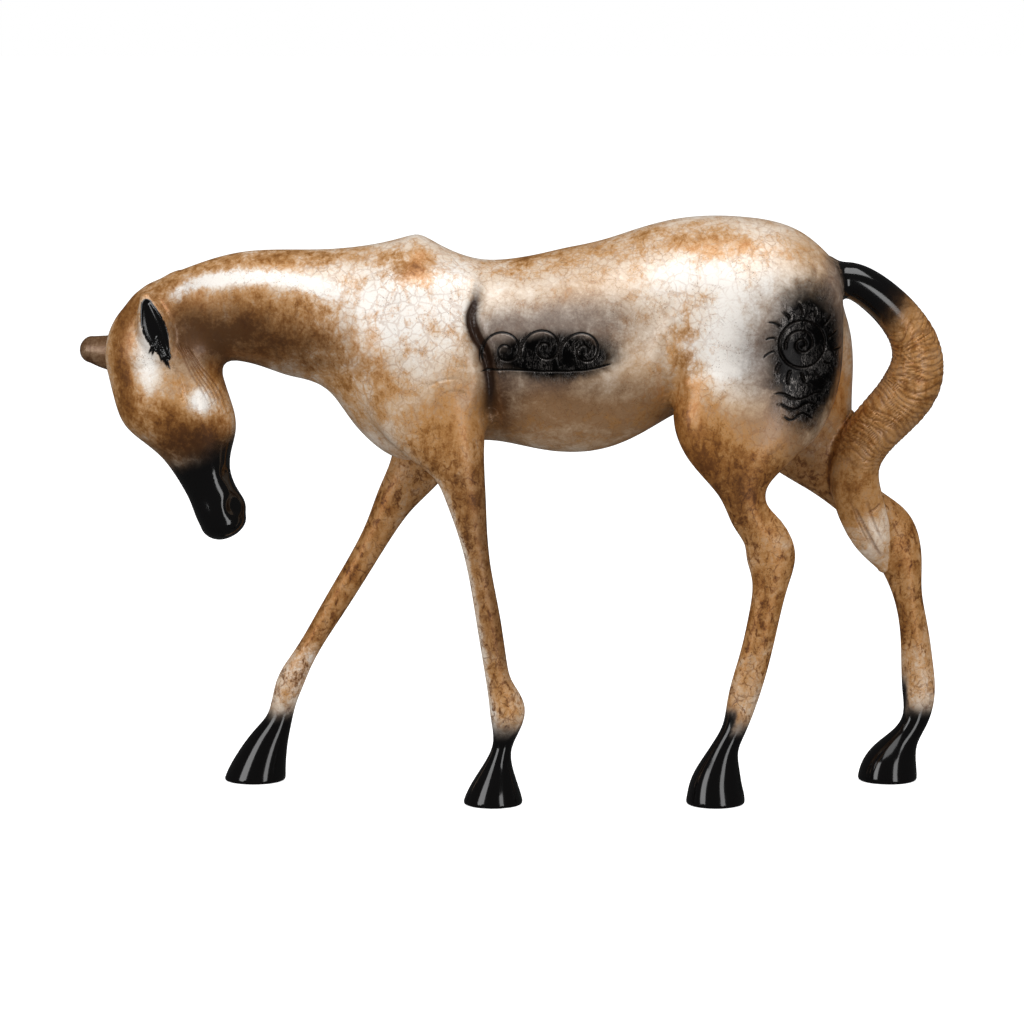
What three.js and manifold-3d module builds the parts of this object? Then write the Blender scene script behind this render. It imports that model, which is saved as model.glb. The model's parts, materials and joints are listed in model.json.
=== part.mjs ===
// A standing horse, cast in bronze in one piece: long legs, small head hung toward the chest, tail curled
// down beside the far hind leg. It stands on its own four hooves.
// Millimetres, +Z up. The origin is on the floor under the middle of the horse. The head is toward -X, the
// tail toward +X, and the horse's left side, called the near side here, faces -Y.

import * as THREE from 'three';
import { mergeVertices } from 'three/addons/utils/BufferGeometryUtils.js';
import Module from 'manifold-3d';

// Driving sizes

const HOOF_SPREAD = 39; // sideways distance from the middle plane to the middle of each hoof
const SHOULDER_OUT = 23; // the same for the top of a foreleg, inside the shoulder
const HIP_OUT = 22; // the same for the top of a hind leg, inside the hip
const SPAN_STEPS = 2; // rings of facets between two stations of a limb
const FINE_STEPS = 8; // rings between two stations where distances to a limb are taken
const CAP_STEPS = 3; // rings of facets that round off the end of a limb
const SOLE_EDGE = 1; // corners lower than this belong to a sole and stay where they are
const FLOOR_CUT = 12; // how far the limbs run below the floor before the soles are cut flat
const HEAD_BLEND = 13; // width of the soft hollow where the head leaves the neck
const LEG_BLEND = 9; // the same where a leg leaves the trunk
const TAIL_BLEND = 6; // the same around the tail
const EAR_BLEND = 5; // the same around the ears
const SETTLE_PASSES = 5; // how often the facets' corners are moved toward the blended surface
const EVEN_PASSES = 12; // how often the corners around a seam are spread evenly before they settle
const EVEN_ZONE = 9; // a seam's corners are those as near as this to the surface of two limbs
const EAR_ZONE = 3; // the same for an ear
const SETTLE_REACH = 9; // a corner farther than this from the blended surface is left alone
const SETTLE_NUDGE = 0.25; // how far apart distances are taken to find the steepest way to the surface
const LEAST_SLOPE = 0.25; // square of the least steepness used, so that no corner leaps
const SAME_PLACE = 1e-4; // corners nearer to each other than this are one corner
const CREASE_SPOTS = 60; // spots along a crease where distances to it are taken
const GROUND_SIZE = 900; // edge of the block that cuts the soles flat

// A limb is a row of stations. Each has its centre x, y, z, then three half sizes of its oval section: on the
// upper or rear side of the centre line, on the lower or front side, and sideways.

const TRUNK = {
  sides: 30,
  caps: [14, 14],
  stations: [
    [-226, 0, 341, 31, 35, 21],
    [-185, 0, 344, 38, 39, 27],
    [-145, 0, 340.5, 43.4, 46, 31],
    [-108, 0, 330, 60.4, 51, 38],
    [-86, 0, 323, 74.6, 70, 42],
    [-60, 0, 317.6, 70, 82, 44],
    [-28, 0, 313.6, 63.6, 65, 46],
    [11, 0, 312.6, 66, 67, 50],
    [50, 0, 316.4, 68.4, 73, 52],
    [90, 0, 328, 68, 64, 50],
    [126, 0, 338.6, 66.6, 62, 49],
    [160, 0, 341, 66, 62, 52],
    [193, 0, 339, 58.4, 58, 48],
    [213, 0, 336, 43.6, 46, 38],
  ],
};

const HEAD = {
  sides: 22,
  caps: [52, 13],
  stations: [
    [-236, 0, 309, 32, 46.6, 25],
    [-230.6, 0, 289.7, 29.6, 47.4, 27],
    [-225.2, 0, 270.5, 30, 44.2, 26.5],
    [-222, 0, 259, 30, 36.5, 24.5],
    [-218.8, 0, 247.4, 26.6, 28.3, 21],
    [-215.6, 0, 235.8, 20, 23, 17.5],
    [-211.8, 0, 222.3, 16.2, 19, 14.5],
    [-208.6, 0, 210.8, 17.6, 16.8, 14],
    [-205.9, 0, 201.1, 20, 16, 15],
    [-203.7, 0, 193.4, 18, 14.8, 14.6],
  ],
};

const NEAR_FORE = {
  sides: 14,
  caps: [22, 0],
  stations: [
    [-68, -SHOULDER_OUT + 3, 350, 42, 40, 20],
    [-64, -SHOULDER_OUT, 320, 40, 44, 25],
    [-57, -SHOULDER_OUT - 5, 286, 40, 42, 22],
    [-45, -HOOF_SPREAD + 5, 255, 29, 30, 17],
    [-36.6, -HOOF_SPREAD + 1, 234, 18.4, 18, 13.5],
    [-32, -HOOF_SPREAD, 216, 14.2, 14, 11.5],
    [-27.4, -HOOF_SPREAD, 193, 10.4, 10.6, 9.8],
    [-23, -HOOF_SPREAD, 168, 8.2, 8.4, 8.4],
    [-17.4, -HOOF_SPREAD, 136, 8.4, 8.4, 8.4],
    [-11.8, -HOOF_SPREAD, 102, 8, 8.6, 8.2],
    [-8.2, -HOOF_SPREAD, 84, 8.9, 9.4, 8.8],
    [-4, -HOOF_SPREAD, 66, 13, 11.4, 10.4],
    [-4.4, -HOOF_SPREAD, 52, 9.2, 9.4, 8.8],
    [-6.6, -HOOF_SPREAD, 41, 6.8, 7, 7.6],
    [-9, -HOOF_SPREAD, 30, 9.2, 8.8, 9.6],
    [-11.4, -HOOF_SPREAD, 14, 16.2, 16, 15.5],
    [-13, -HOOF_SPREAD, 0, 21.2, 20.8, 19.5],
    [-14.4, -HOOF_SPREAD, -FLOOR_CUT, 22, 22, 21],
  ],
};

const FAR_FORE = {
  sides: 14,
  caps: [22, 0],
  stations: [
    [-68, SHOULDER_OUT - 3, 350, 42, 40, 20],
    [-64, SHOULDER_OUT, 320, 40, 44, 25],
    [-58, SHOULDER_OUT + 4, 286, 38, 40, 22],
    [-58, HOOF_SPREAD - 5, 252, 29, 27, 18],
    [-67, HOOF_SPREAD - 1, 225, 18, 21, 14],
    [-81.5, HOOF_SPREAD, 205, 14, 14.6, 12],
    [-93.4, HOOF_SPREAD, 183.4, 10.6, 10.8, 10.2],
    [-109, HOOF_SPREAD, 156, 9.2, 9.2, 9],
    [-129, HOOF_SPREAD, 123, 8.4, 8.4, 8.6],
    [-150, HOOF_SPREAD, 88, 8.2, 8.2, 8.4],
    [-158.6, HOOF_SPREAD, 71, 9.4, 9.8, 9.4],
    [-163.4, HOOF_SPREAD, 56, 8.6, 9, 8.8],
    [-167, HOOF_SPREAD, 44, 9.4, 9.4, 9.4],
    [-174, HOOF_SPREAD, 29, 14, 13.4, 12.6],
    [-180.6, HOOF_SPREAD, 12, 19, 18.6, 17],
    [-184, HOOF_SPREAD, 0, 21.8, 21.6, 19.5],
    [-187, HOOF_SPREAD, -FLOOR_CUT, 22, 22.6, 21],
  ],
};

const NEAR_HIND = {
  sides: 14,
  caps: [26, 0],
  stations: [
    [170, -HIP_OUT + 3, 352, 54, 50, 26],
    [172, -HIP_OUT, 318, 56, 56, 30],
    [168, -HIP_OUT - 6, 286, 53, 54.6, 27],
    [160, -HOOF_SPREAD + 4, 259, 43, 50.4, 22],
    [157, -HOOF_SPREAD + 1, 238, 31, 34.4, 17],
    [158, -HOOF_SPREAD, 220, 19, 16.4, 13],
    [164, -HOOF_SPREAD, 204, 13.8, 14.2, 11],
    [173.4, -HOOF_SPREAD, 189, 16, 14.6, 10.6],
    [177.6, -HOOF_SPREAD, 174, 18, 15.6, 10.4],
    [178, -HOOF_SPREAD, 157, 13.6, 12.4, 9.6],
    [174.4, -HOOF_SPREAD, 134, 11.2, 10.4, 9],
    [167.8, -HOOF_SPREAD, 103, 11, 10.4, 8.8],
    [159.6, -HOOF_SPREAD, 72, 10.2, 10.2, 8.8],
    [153.8, -HOOF_SPREAD, 52, 8.4, 8.4, 8.4],
    [148.8, -HOOF_SPREAD, 41, 9.4, 9, 9],
    [144, -HOOF_SPREAD, 26, 15.2, 13.6, 13],
    [141.2, -HOOF_SPREAD, 11, 20, 18.2, 17.4],
    [141, -HOOF_SPREAD, 0, 21.4, 20.2, 19.5],
    [140, -HOOF_SPREAD, -FLOOR_CUT, 22, 22, 21],
  ],
};

const FAR_HIND = {
  sides: 14,
  caps: [26, 0],
  stations: [
    [174, HIP_OUT - 3, 350, 52.4, 50, 26],
    [181, HIP_OUT, 316, 56.6, 52, 28],
    [193, HIP_OUT + 7, 282, 51, 44, 25],
    [208.6, HOOF_SPREAD - 5, 250, 36, 36, 20],
    [227, HOOF_SPREAD - 1, 222, 23, 19.8, 15.6],
    [248, HOOF_SPREAD, 199, 17, 13.6, 12.6],
    [267, HOOF_SPREAD, 179, 20.4, 14, 11.2],
    [278, HOOF_SPREAD, 160, 14.4, 16.4, 10.4],
    [282.4, HOOF_SPREAD, 139, 9.8, 12, 9.6],
    [286, HOOF_SPREAD, 112, 10.8, 9.2, 9],
    [289.6, HOOF_SPREAD, 84, 11.6, 11.2, 9],
    [291, HOOF_SPREAD, 64, 11.8, 11.4, 9.4],
    [288.6, HOOF_SPREAD, 45, 10, 9, 8.8],
    [281.4, HOOF_SPREAD, 31, 10.8, 10, 10.4],
    [274, HOOF_SPREAD, 17, 17.8, 16.8, 15.6],
    [270.6, HOOF_SPREAD, 6, 20.6, 20.8, 18.6],
    [270, HOOF_SPREAD, -FLOOR_CUT, 21, 21.6, 20],
  ],
};

const TAIL = {
  sides: 14,
  caps: [0, 4],
  stations: [
    [212, 0, 358, 12, 12, 12],
    [232, 0, 361.6, 13.2, 11.8, 12.6],
    [252, 2, 351.4, 14.6, 12.4, 13.4],
    [270.4, 5, 333, 16.2, 13.6, 14.8],
    [281, 8, 312, 18.6, 16.2, 16.6],
    [280, 11, 291, 20.6, 19.4, 18],
    [267.6, 14, 271, 19.8, 19.4, 17],
    [251, 16, 251, 18, 18.4, 14.6],
    [242.4, 18, 231, 16.6, 17, 12],
    [243, 20.6, 212, 17, 17.4, 9.4],
    [249, 23.6, 194, 16, 17, 7.4],
    [256.6, 26, 175, 11, 13.6, 6],
    [263.4, 32, 156, 3, 4, 4],
  ],
};

const NEAR_EAR = {
  sides: 12,
  caps: [6, 3],
  stations: [
    [-240, -21, 312, 7, 7, 6],
    [-242.6, -22.6, 324, 9.6, 9.6, 7],
    [-247, -22.4, 338, 8.4, 8.4, 6.6],
    [-252, -20, 351, 3, 3, 4],
  ],
};

const EAR_HOLLOW = {
  sides: 10,
  caps: [5, 4],
  stations: [
    [-241.4, -30.4, 318, 4, 4, 3.6],
    [-243.4, -31.6, 326, 6.4, 6.4, 5],
    [-246.6, -31, 337, 5.4, 5.4, 5],
    [-249.6, -28.6, 345, 2.6, 2.6, 3.4],
  ],
};

const FAR_EAR = {
  sides: 12,
  caps: [6, 8.6],
  stations: [
    [-262, 20, 312, 14, 12, 9],
    [-279, 24, 309.8, 13.6, 12.2, 9],
    [-295.4, 28, 311, 9.2, 9.8, 8.6],
  ],
};

// A crease is a soft hollow down both sides of the body, along a row of x, z points.

const CREASES = [
  {
    depth: 4.5,
    width: 6,
    points: [[-24, 366], [-26, 330], [-22, 318], [-16, 296], [-14, 262]],
  },
  {
    depth: 3,
    width: 8,
    points: [[108, 362], [109, 330], [107, 304], [110, 270]],
  },
];
const CREASE_START = 20; // the creases fade out nearer than this to the middle plane, so the back stays whole

const JOINED = [
  { limb: HEAD, blendWidth: HEAD_BLEND },
  { limb: NEAR_FORE, blendWidth: LEG_BLEND },
  { limb: FAR_FORE, blendWidth: LEG_BLEND },
  { limb: NEAR_HIND, blendWidth: LEG_BLEND },
  { limb: FAR_HIND, blendWidth: LEG_BLEND },
  { limb: TAIL, blendWidth: TAIL_BLEND },
  { limb: NEAR_EAR, blendWidth: EAR_BLEND },
  { limb: FAR_EAR, blendWidth: EAR_BLEND },
];

const BRONZE = new THREE.MeshStandardMaterial({ color: 0xc9b291, metalness: 0.35, roughness: 0.3 });

// Limbs as rows of rings

/** A smooth curve through the stations' places, or through their half sizes. */
function curveThrough(stations, first) {
  const points = stations.map((station) => new THREE.Vector3(...station.slice(first, first + 3)));
  return new THREE.CatmullRomCurve3(points, false, 'catmullrom', 0.5);
}

/** The rings of a limb: centre, half sizes, and directions along it, to its upper or rear side and sideways. */
function ringsOf(limb, stepsPerSpan) {
  const places = curveThrough(limb.stations, 0);
  const sizes = curveThrough(limb.stations, 3);
  const count = (limb.stations.length - 1) * stepsPerSpan;
  const rings = [];
  for (let i = 0; i <= count; i += 1) {
    const t = i / count;
    const along = places.getTangent(t);
    const side = new THREE.Vector3(0, 1, 0).addScaledVector(along, -along.y).normalize();
    const upper = new THREE.Vector3().crossVectors(along, side);
    const [upperHalf, lowerHalf, sideHalf] = sizes.getPoint(t).toArray();
    rings.push({ centre: places.getPoint(t), along, upper, side, upperHalf, lowerHalf, sideHalf });
  }
  return rings;
}

/** Extra rings that round a limb's end off over the length of its cap, from the rim outward. */
function capRings(ring, length) {
  const rings = [];
  for (let i = 1; i < CAP_STEPS; i += 1) {
    const angle = (i / CAP_STEPS) * (Math.PI / 2);
    const shrink = Math.cos(angle);
    rings.push({
      ...ring,
      centre: ring.centre.clone().addScaledVector(ring.along, length * Math.sin(angle)),
      upperHalf: ring.upperHalf * shrink,
      lowerHalf: ring.lowerHalf * shrink,
      sideHalf: ring.sideHalf * shrink,
    });
  }
  return rings;
}

/** The closed surface of one limb, as corners and triangles. */
function limbGeometry(limb) {
  const rings = ringsOf(limb, SPAN_STEPS);
  const [startCap, endCap] = limb.caps;
  const first = rings[0];
  const last = rings[rings.length - 1];
  const all = [...capRings(first, -startCap).reverse(), ...rings, ...capRings(last, endCap)];
  const corners = [];
  for (const ring of all) {
    for (let i = 0; i < limb.sides; i += 1) {
      const angle = (i / limb.sides) * Math.PI * 2;
      const rise = Math.cos(angle);
      const half = rise > 0 ? ring.upperHalf : ring.lowerHalf;
      corners.push(
        ...ring.centre
          .clone()
          .addScaledVector(ring.upper, rise * half)
          .addScaledVector(ring.side, Math.sin(angle) * ring.sideHalf)
          .toArray(),
      );
    }
  }
  const startPole = corners.length / 3;
  corners.push(...first.centre.clone().addScaledVector(first.along, -startCap).toArray());
  const endPole = startPole + 1;
  corners.push(...last.centre.clone().addScaledVector(last.along, endCap).toArray());
  const triangles = [];
  const lastRow = (all.length - 1) * limb.sides;
  for (let i = 0; i < limb.sides; i += 1) {
    const next = (i + 1) % limb.sides;
    triangles.push(startPole, i, next);
    triangles.push(endPole, lastRow + next, lastRow + i);
    for (let row = 0; row < lastRow; row += limb.sides) {
      const above = row + limb.sides;
      triangles.push(row + i, above + next, row + next);
      triangles.push(row + i, above + i, above + next);
    }
  }
  const geometry = new THREE.BufferGeometry();
  geometry.setAttribute('position', new THREE.Float32BufferAttribute(corners, 3));
  geometry.setIndex(triangles);
  return geometry;
}

// The blended surface

/** How far a point lies outside one limb, negative inside, taken from the nearest ring. */
function distanceToLimb(point, limb) {
  let nearest = limb.fineRings[0];
  let nearestSquare = Infinity;
  for (const ring of limb.fineRings) {
    const square = ring.centre.distanceToSquared(point);
    if (square < nearestSquare) {
      nearestSquare = square;
      nearest = ring;
    }
  }
  const offset = point.clone().sub(nearest.centre);
  const rise = offset.dot(nearest.upper);
  const riseHalf = rise > 0 ? nearest.upperHalf : nearest.lowerHalf;
  const out = offset.dot(nearest.side);
  let run = 0;
  let cap = 1;
  if (nearest === limb.fineRings[0]) {
    run = Math.min(offset.dot(nearest.along), 0);
    cap = limb.caps[0] || 1;
  }
  if (nearest === limb.fineRings[limb.fineRings.length - 1]) {
    run = Math.max(offset.dot(nearest.along), 0);
    cap = limb.caps[1] || 1;
  }
  const reach = Math.hypot(rise / riseHalf, out / nearest.sideHalf, run / cap);
  const slope = Math.hypot(rise / riseHalf ** 2, out / nearest.sideHalf ** 2, run / cap ** 2);
  if (slope < 1e-9) {
    return -Math.min(riseHalf, nearest.sideHalf);
  }
  return (reach * (reach - 1)) / slope;
}

/** The smaller of two distances, rounded off where they are alike. */
function blend(a, b, width) {
  const share = Math.max(width - Math.abs(a - b), 0) / width;
  return Math.min(a, b) - (share * share * width) / 4;
}

/** How much the creases sink the surface at a point. */
function creaseDepth(point) {
  const fade = THREE.MathUtils.smoothstep(Math.abs(point.y), CREASE_START / 2, CREASE_START);
  let depth = 0;
  const flat = new THREE.Vector2(point.x, point.z);
  for (const crease of CREASES) {
    let nearest = Infinity;
    for (const spot of crease.spots) {
      nearest = Math.min(nearest, spot.distanceTo(flat));
    }
    depth += crease.depth * Math.exp(-((nearest / crease.width) ** 2));
  }
  return depth * fade;
}

/** How far a point lies outside the whole horse, negative inside. */
function distanceToHorse(point) {
  let distance = distanceToLimb(point, TRUNK);
  for (const { limb, blendWidth } of JOINED) {
    distance = blend(distance, distanceToLimb(point, limb), blendWidth);
  }
  distance += creaseDepth(point);
  return Math.max(distance, -distanceToLimb(point, EAR_HOLLOW));
}

/** Whether a point is near the surface of two of the large limbs at once. */
function liesAtSeam(point) {
  let count = Math.abs(distanceToLimb(point, TRUNK)) < EVEN_ZONE ? 1 : 0;
  for (const { limb, blendWidth } of JOINED) {
    const zone = blendWidth > EAR_BLEND ? EVEN_ZONE : EAR_ZONE;
    count += Math.abs(distanceToLimb(point, limb)) < zone ? 1 : 0;
  }
  return count > 1;
}

/** Moves a point onto the blended surface, along the steepest way, keeping it above the floor. */
function settle(point) {
  for (let pass = 0; pass < SETTLE_PASSES; pass += 1) {
    const distance = distanceToHorse(point);
    if (Math.abs(distance) > SETTLE_REACH) {
      return;
    }
    const slope = new THREE.Vector3();
    for (const axis of ['x', 'y', 'z']) {
      const ahead = point.clone();
      const behind = point.clone();
      ahead[axis] += SETTLE_NUDGE;
      behind[axis] -= SETTLE_NUDGE;
      slope[axis] = (distanceToHorse(ahead) - distanceToHorse(behind)) / (2 * SETTLE_NUDGE);
    }
    point.addScaledVector(slope, -distance / Math.max(slope.lengthSq(), LEAST_SLOPE));
  }
}

// Joining

const wasm = await Module();
wasm.setup();

/** A closed mesh as a solid that can be joined and cut. */
function solidOf(geometry) {
  const plain = geometry.clone();
  plain.deleteAttribute('normal');
  plain.deleteAttribute('uv');
  const merged = mergeVertices(plain, SAME_PLACE);
  const vertProperties = new Float32Array(merged.attributes.position.array);
  const triVerts = new Uint32Array(merged.index.array);
  return new wasm.Manifold(new wasm.Mesh({ numProp: 3, vertProperties, triVerts }));
}

/** A solid's corners and triangles as a geometry. */
function geometryOf(solid) {
  const mesh = solid.getMesh();
  const geometry = new THREE.BufferGeometry();
  geometry.setAttribute('position', new THREE.Float32BufferAttribute(mesh.vertProperties, 3));
  geometry.setIndex(Array.from(mesh.triVerts));
  return mergeVertices(geometry, SAME_PLACE);
}

/** A geometry's corners, each with its place and the corners that share an edge with it. */
function cornersOf(geometry) {
  const places = geometry.attributes.position;
  const corners = [];
  for (let i = 0; i < places.count; i += 1) {
    corners.push({ point: new THREE.Vector3().fromBufferAttribute(places, i), neighbours: new Set() });
  }
  const triangles = geometry.index.array;
  for (let i = 0; i < triangles.length; i += 3) {
    const triangle = [corners[triangles[i]], corners[triangles[i + 1]], corners[triangles[i + 2]]];
    triangle.forEach((corner, k) => corner.neighbours.add(triangle[(k + 1) % 3]));
  }
  return corners;
}

/** Everything below the floor, as one block. */
function groundBlock() {
  return new THREE.BoxGeometry(GROUND_SIZE, GROUND_SIZE, GROUND_SIZE).translate(0, 0, -GROUND_SIZE / 2);
}

/** The horse: limbs joined, soles cut flat, corners settled onto the blended surface. */
function horseGeometry() {
  let solid = solidOf(limbGeometry(TRUNK));
  for (const { limb } of JOINED) {
    solid = solid.add(solidOf(limbGeometry(limb)));
  }
  solid = solid.subtract(solidOf(limbGeometry(EAR_HOLLOW)));
  solid = solid.subtract(solidOf(groundBlock()));
  const geometry = geometryOf(solid);
  const corners = cornersOf(geometry);
  const free = corners.filter((corner) => corner.point.z > SOLE_EDGE);
  free.forEach((corner) => settle(corner.point));
  const seam = free.filter((corner) => liesAtSeam(corner.point));
  for (let pass = 0; pass < EVEN_PASSES; pass += 1) {
    for (const corner of seam) {
      const middle = new THREE.Vector3();
      corner.neighbours.forEach((other) => middle.addScaledVector(other.point, 1 / corner.neighbours.size));
      corner.point.lerp(middle, 0.5);
    }
    seam.forEach((corner) => settle(corner.point));
  }
  corners.forEach((corner, i) => geometry.attributes.position.setXYZ(i, ...corner.point.toArray()));
  return geometry;
}

for (const limb of [TRUNK, EAR_HOLLOW, ...JOINED.map((joined) => joined.limb)]) {
  limb.fineRings = ringsOf(limb, FINE_STEPS);
}
for (const crease of CREASES) {
  const line = new THREE.SplineCurve(crease.points.map(([x, z]) => new THREE.Vector2(x, z)));
  crease.spots = line.getPoints(CREASE_SPOTS);
}

const sculpture = new THREE.Group();
const horse = new THREE.Mesh(horseGeometry(), BRONZE);
horse.name = 'horse';
sculpture.add(horse);

export default sculpture;
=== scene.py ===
# %% [markdown]
# # A standing horse in patinated bronze
# The real figure is one hollow casting on four thin legs, about 60 cm long. Its form is smooth, nearly
# abstract: long tapering limbs that flow into a full trunk. A mottled cream and brown patina covers it, with
# polished black at the muzzle, the ear, the root of the tail and the hooves.
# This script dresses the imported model. It builds one fine surface in place of the faceted solid, carves the
# shallow relief into it, and gives it a procedural patina. The fixed frame is loaded first, because every
# place below is measured in it.

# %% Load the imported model
import json
import math

import bpy
import numpy as np
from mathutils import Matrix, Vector


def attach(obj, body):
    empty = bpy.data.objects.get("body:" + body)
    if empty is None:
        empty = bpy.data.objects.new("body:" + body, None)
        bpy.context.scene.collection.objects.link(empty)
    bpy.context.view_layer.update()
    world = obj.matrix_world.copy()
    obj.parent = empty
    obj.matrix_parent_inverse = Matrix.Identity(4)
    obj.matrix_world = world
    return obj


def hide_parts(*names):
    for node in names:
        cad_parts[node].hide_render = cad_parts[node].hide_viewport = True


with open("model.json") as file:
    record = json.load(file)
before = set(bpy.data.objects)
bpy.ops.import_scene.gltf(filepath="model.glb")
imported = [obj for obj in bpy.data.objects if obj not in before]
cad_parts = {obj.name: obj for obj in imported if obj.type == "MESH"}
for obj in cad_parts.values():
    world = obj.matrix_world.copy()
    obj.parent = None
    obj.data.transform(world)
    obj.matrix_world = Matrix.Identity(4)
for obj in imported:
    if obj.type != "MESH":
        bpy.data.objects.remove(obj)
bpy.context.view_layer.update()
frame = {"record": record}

MM = 0.001  # one millimetre in Blender's metres

# %% [markdown]
# ## Limbs as rows of oval sections
# A modeller could sculpt the horse freehand, or box-model it and subdivide. Both make it hard to keep the
# solid's outline. Here the trunk, head, poll, legs, tail and ears are each a row of stations, nearly the same
# ones as the solid's: a centre and three half sizes of an oval section. A smooth curve runs through them, so
# every limb is a profile carried along a path and can be read at any place along it.
# Stations are in millimetres: centre x, y, z, then the half size on the upper or rear side, on the lower or
# front side, and sideways. The horse's left side faces -Y and is called the near side.

# %% Trunk, head and the poll between them


def straight(y, rows):
    """Stations that all lie at one y: each row gives x, z and the three half sizes."""
    return [(x, y, z, *halves) for x, z, *halves in rows]


TRUNK = straight(0, [
    (-226, 341, 28.6, 35, 21), (-185, 344, 38, 39, 27), (-145, 340.5, 43.8, 46, 31),
    (-108, 330, 61.8, 51, 38), (-86, 323, 73.4, 70, 42), (-60, 317.6, 69.4, 82, 44),
    (-28, 313.6, 63.6, 65, 46), (11, 312.6, 66, 67, 50),
    (50, 316.4, 69.4, 73, 52), (90, 328, 67.4, 64, 50), (126, 338.6, 67.2, 62, 49), (160, 341, 65, 62, 52),
    (193, 339, 57.2, 58, 48), (213, 336, 43.6, 46, 38),
])
HEAD = straight(0, [
    (-236, 309, 32, 46.6, 25), (-230.6, 289.7, 29.6, 47.4, 27), (-225.2, 270.5, 30, 44.2, 26.5),
    (-222, 259, 30, 36.5, 24.5), (-218.8, 247.4, 26.6, 28.3, 21), (-215.6, 235.8, 20, 23, 17.5),
    (-211.8, 222.3, 16.2, 19, 14.5), (-208.6, 210.8, 17.6, 16.8, 14), (-205.9, 201.1, 20, 16, 15),
    (-203.7, 193.4, 18, 14.8, 14.6),
])
POLL = straight(0, [(-247.8, 338.8, 18, 16, 16), (-243.8, 341.8, 18, 16, 16)])
print("stations of the trunk:", len(TRUNK), "and of the head:", len(HEAD))

# %% The legs
soles = {mount["name"]: mount["pos_m"] for mount in frame["record"]["mounts"]}
HOOF_OUT = soles["far_fore_sole"][1] / MM  # from the middle plane to the middle of each hoof
SHOULDER_OUT = 23.0
HIP_OUT = 22.0
FLOOR_CUT = 12.0  # how far each leg runs on below the floor, which cuts it off flat

NEAR_FORE = [
    (-68, 3 - SHOULDER_OUT, 350, 42, 40, 20), (-64, -SHOULDER_OUT, 320, 40, 44, 25),
    (-57, -5 - SHOULDER_OUT, 286, 40, 42, 22), (-45, 5 - HOOF_OUT, 255, 29, 30, 17),
    (-36.6, 1 - HOOF_OUT, 234, 18.4, 18, 13.5),
] + straight(-HOOF_OUT, [
    (-32, 216, 14.2, 14, 11.5), (-27.4, 193, 10.4, 10.6, 9.8), (-23, 168, 8.2, 8.4, 8.4),
    (-17.4, 136, 8.4, 8.4, 8.4), (-11.8, 102, 8, 8.6, 8.2), (-8.2, 84, 8.9, 9.4, 8.8),
    (-4, 66, 13, 11.4, 10.4), (-4.4, 52, 9.2, 9.4, 8.8), (-6.6, 41, 6.8, 7, 7.6), (-9, 30, 9.2, 8.8, 9.6),
    (-11.4, 14, 16.2, 16, 15.5), (-13, 0, 21.2, 20.8, 19.5), (-14.4, -FLOOR_CUT, 22, 22, 21),
])
FAR_FORE = [
    (-68, SHOULDER_OUT - 3, 350, 42, 40, 20), (-64, SHOULDER_OUT, 320, 40, 44, 25),
    (-58, SHOULDER_OUT + 4, 286, 38, 40, 22), (-58, HOOF_OUT - 5, 252, 29, 27, 18),
    (-67, HOOF_OUT - 1, 225, 18, 21, 14),
] + straight(HOOF_OUT, [
    (-81.5, 205, 14, 14.6, 12), (-93.4, 183.4, 10.6, 10.8, 10.2), (-109, 156, 9.2, 9.2, 9),
    (-129, 123, 8.4, 8.4, 8.6), (-150, 88, 8.2, 8.2, 8.4), (-158.6, 71, 9.4, 9.8, 9.4),
    (-163.4, 56, 8.6, 9, 8.8), (-167, 44, 9.4, 9.4, 9.4),
    (-174, 29, 14, 13.4, 12.6), (-180.6, 12, 19, 18.6, 17),
    (-184, 0, 21.8, 21.6, 19.5), (-187, -FLOOR_CUT, 22, 22.6, 21),
])
NEAR_HIND = [
    (170, 3 - HIP_OUT, 352, 54, 50, 26), (172, -HIP_OUT, 318, 56, 56, 30),
    (168, -6 - HIP_OUT, 286, 53, 54.6, 27), (160, 4 - HOOF_OUT, 259, 43, 50.4, 22),
    (157, 1 - HOOF_OUT, 238, 31, 34.4, 17),
] + straight(-HOOF_OUT, [
    (158, 220, 19, 16.4, 13), (164, 204, 13.8, 14.2, 11), (173.4, 189, 16, 14.6, 10.6),
    (177.6, 174, 18, 15.6, 10.4), (178, 157, 13.6, 12.4, 9.6), (174.4, 134, 11.2, 10.4, 9),
    (167.8, 103, 11, 10.4, 8.8), (159.6, 72, 10.2, 10.2, 8.8), (153.8, 52, 8.4, 8.4, 8.4),
    (148.8, 41, 9.4, 9, 9),
    (144, 26, 15.2, 13.6, 13), (141.2, 11, 20, 18.2, 17.4), (141, 0, 21.4, 20.2, 19.5),
    (140, -FLOOR_CUT, 22, 22, 21),
])
FAR_HIND = [
    (174, HIP_OUT - 3, 350, 52.4, 50, 26), (181, HIP_OUT, 316, 56.6, 52, 28),
    (193, HIP_OUT + 7, 282, 51, 44, 25), (208.6, HOOF_OUT - 5, 250, 36, 36, 20),
    (227, HOOF_OUT - 1, 222, 23, 19.8, 15.6),
] + straight(HOOF_OUT, [
    (248, 199, 17, 13.6, 12.6), (267, 179, 20.4, 14, 11.2), (278, 160, 14.4, 16.4, 10.4),
    (282.4, 139, 9.8, 12, 9.6), (286, 112, 10.8, 9.2, 9), (289.6, 84, 11.6, 11.2, 9),
    (291, 64, 11.8, 11.4, 9.4),
    (288.6, 45, 10, 9, 8.8), (281.4, 31, 10.8, 10, 10.4), (274, 17, 17.8, 16.8, 15.6),
    (270.6, 6, 20.6, 20.8, 18.6), (270, -FLOOR_CUT, 21, 21.6, 20),
])
print("stations of the legs:", [len(stations) for stations in (NEAR_FORE, FAR_FORE, NEAR_HIND, FAR_HIND)])

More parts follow.
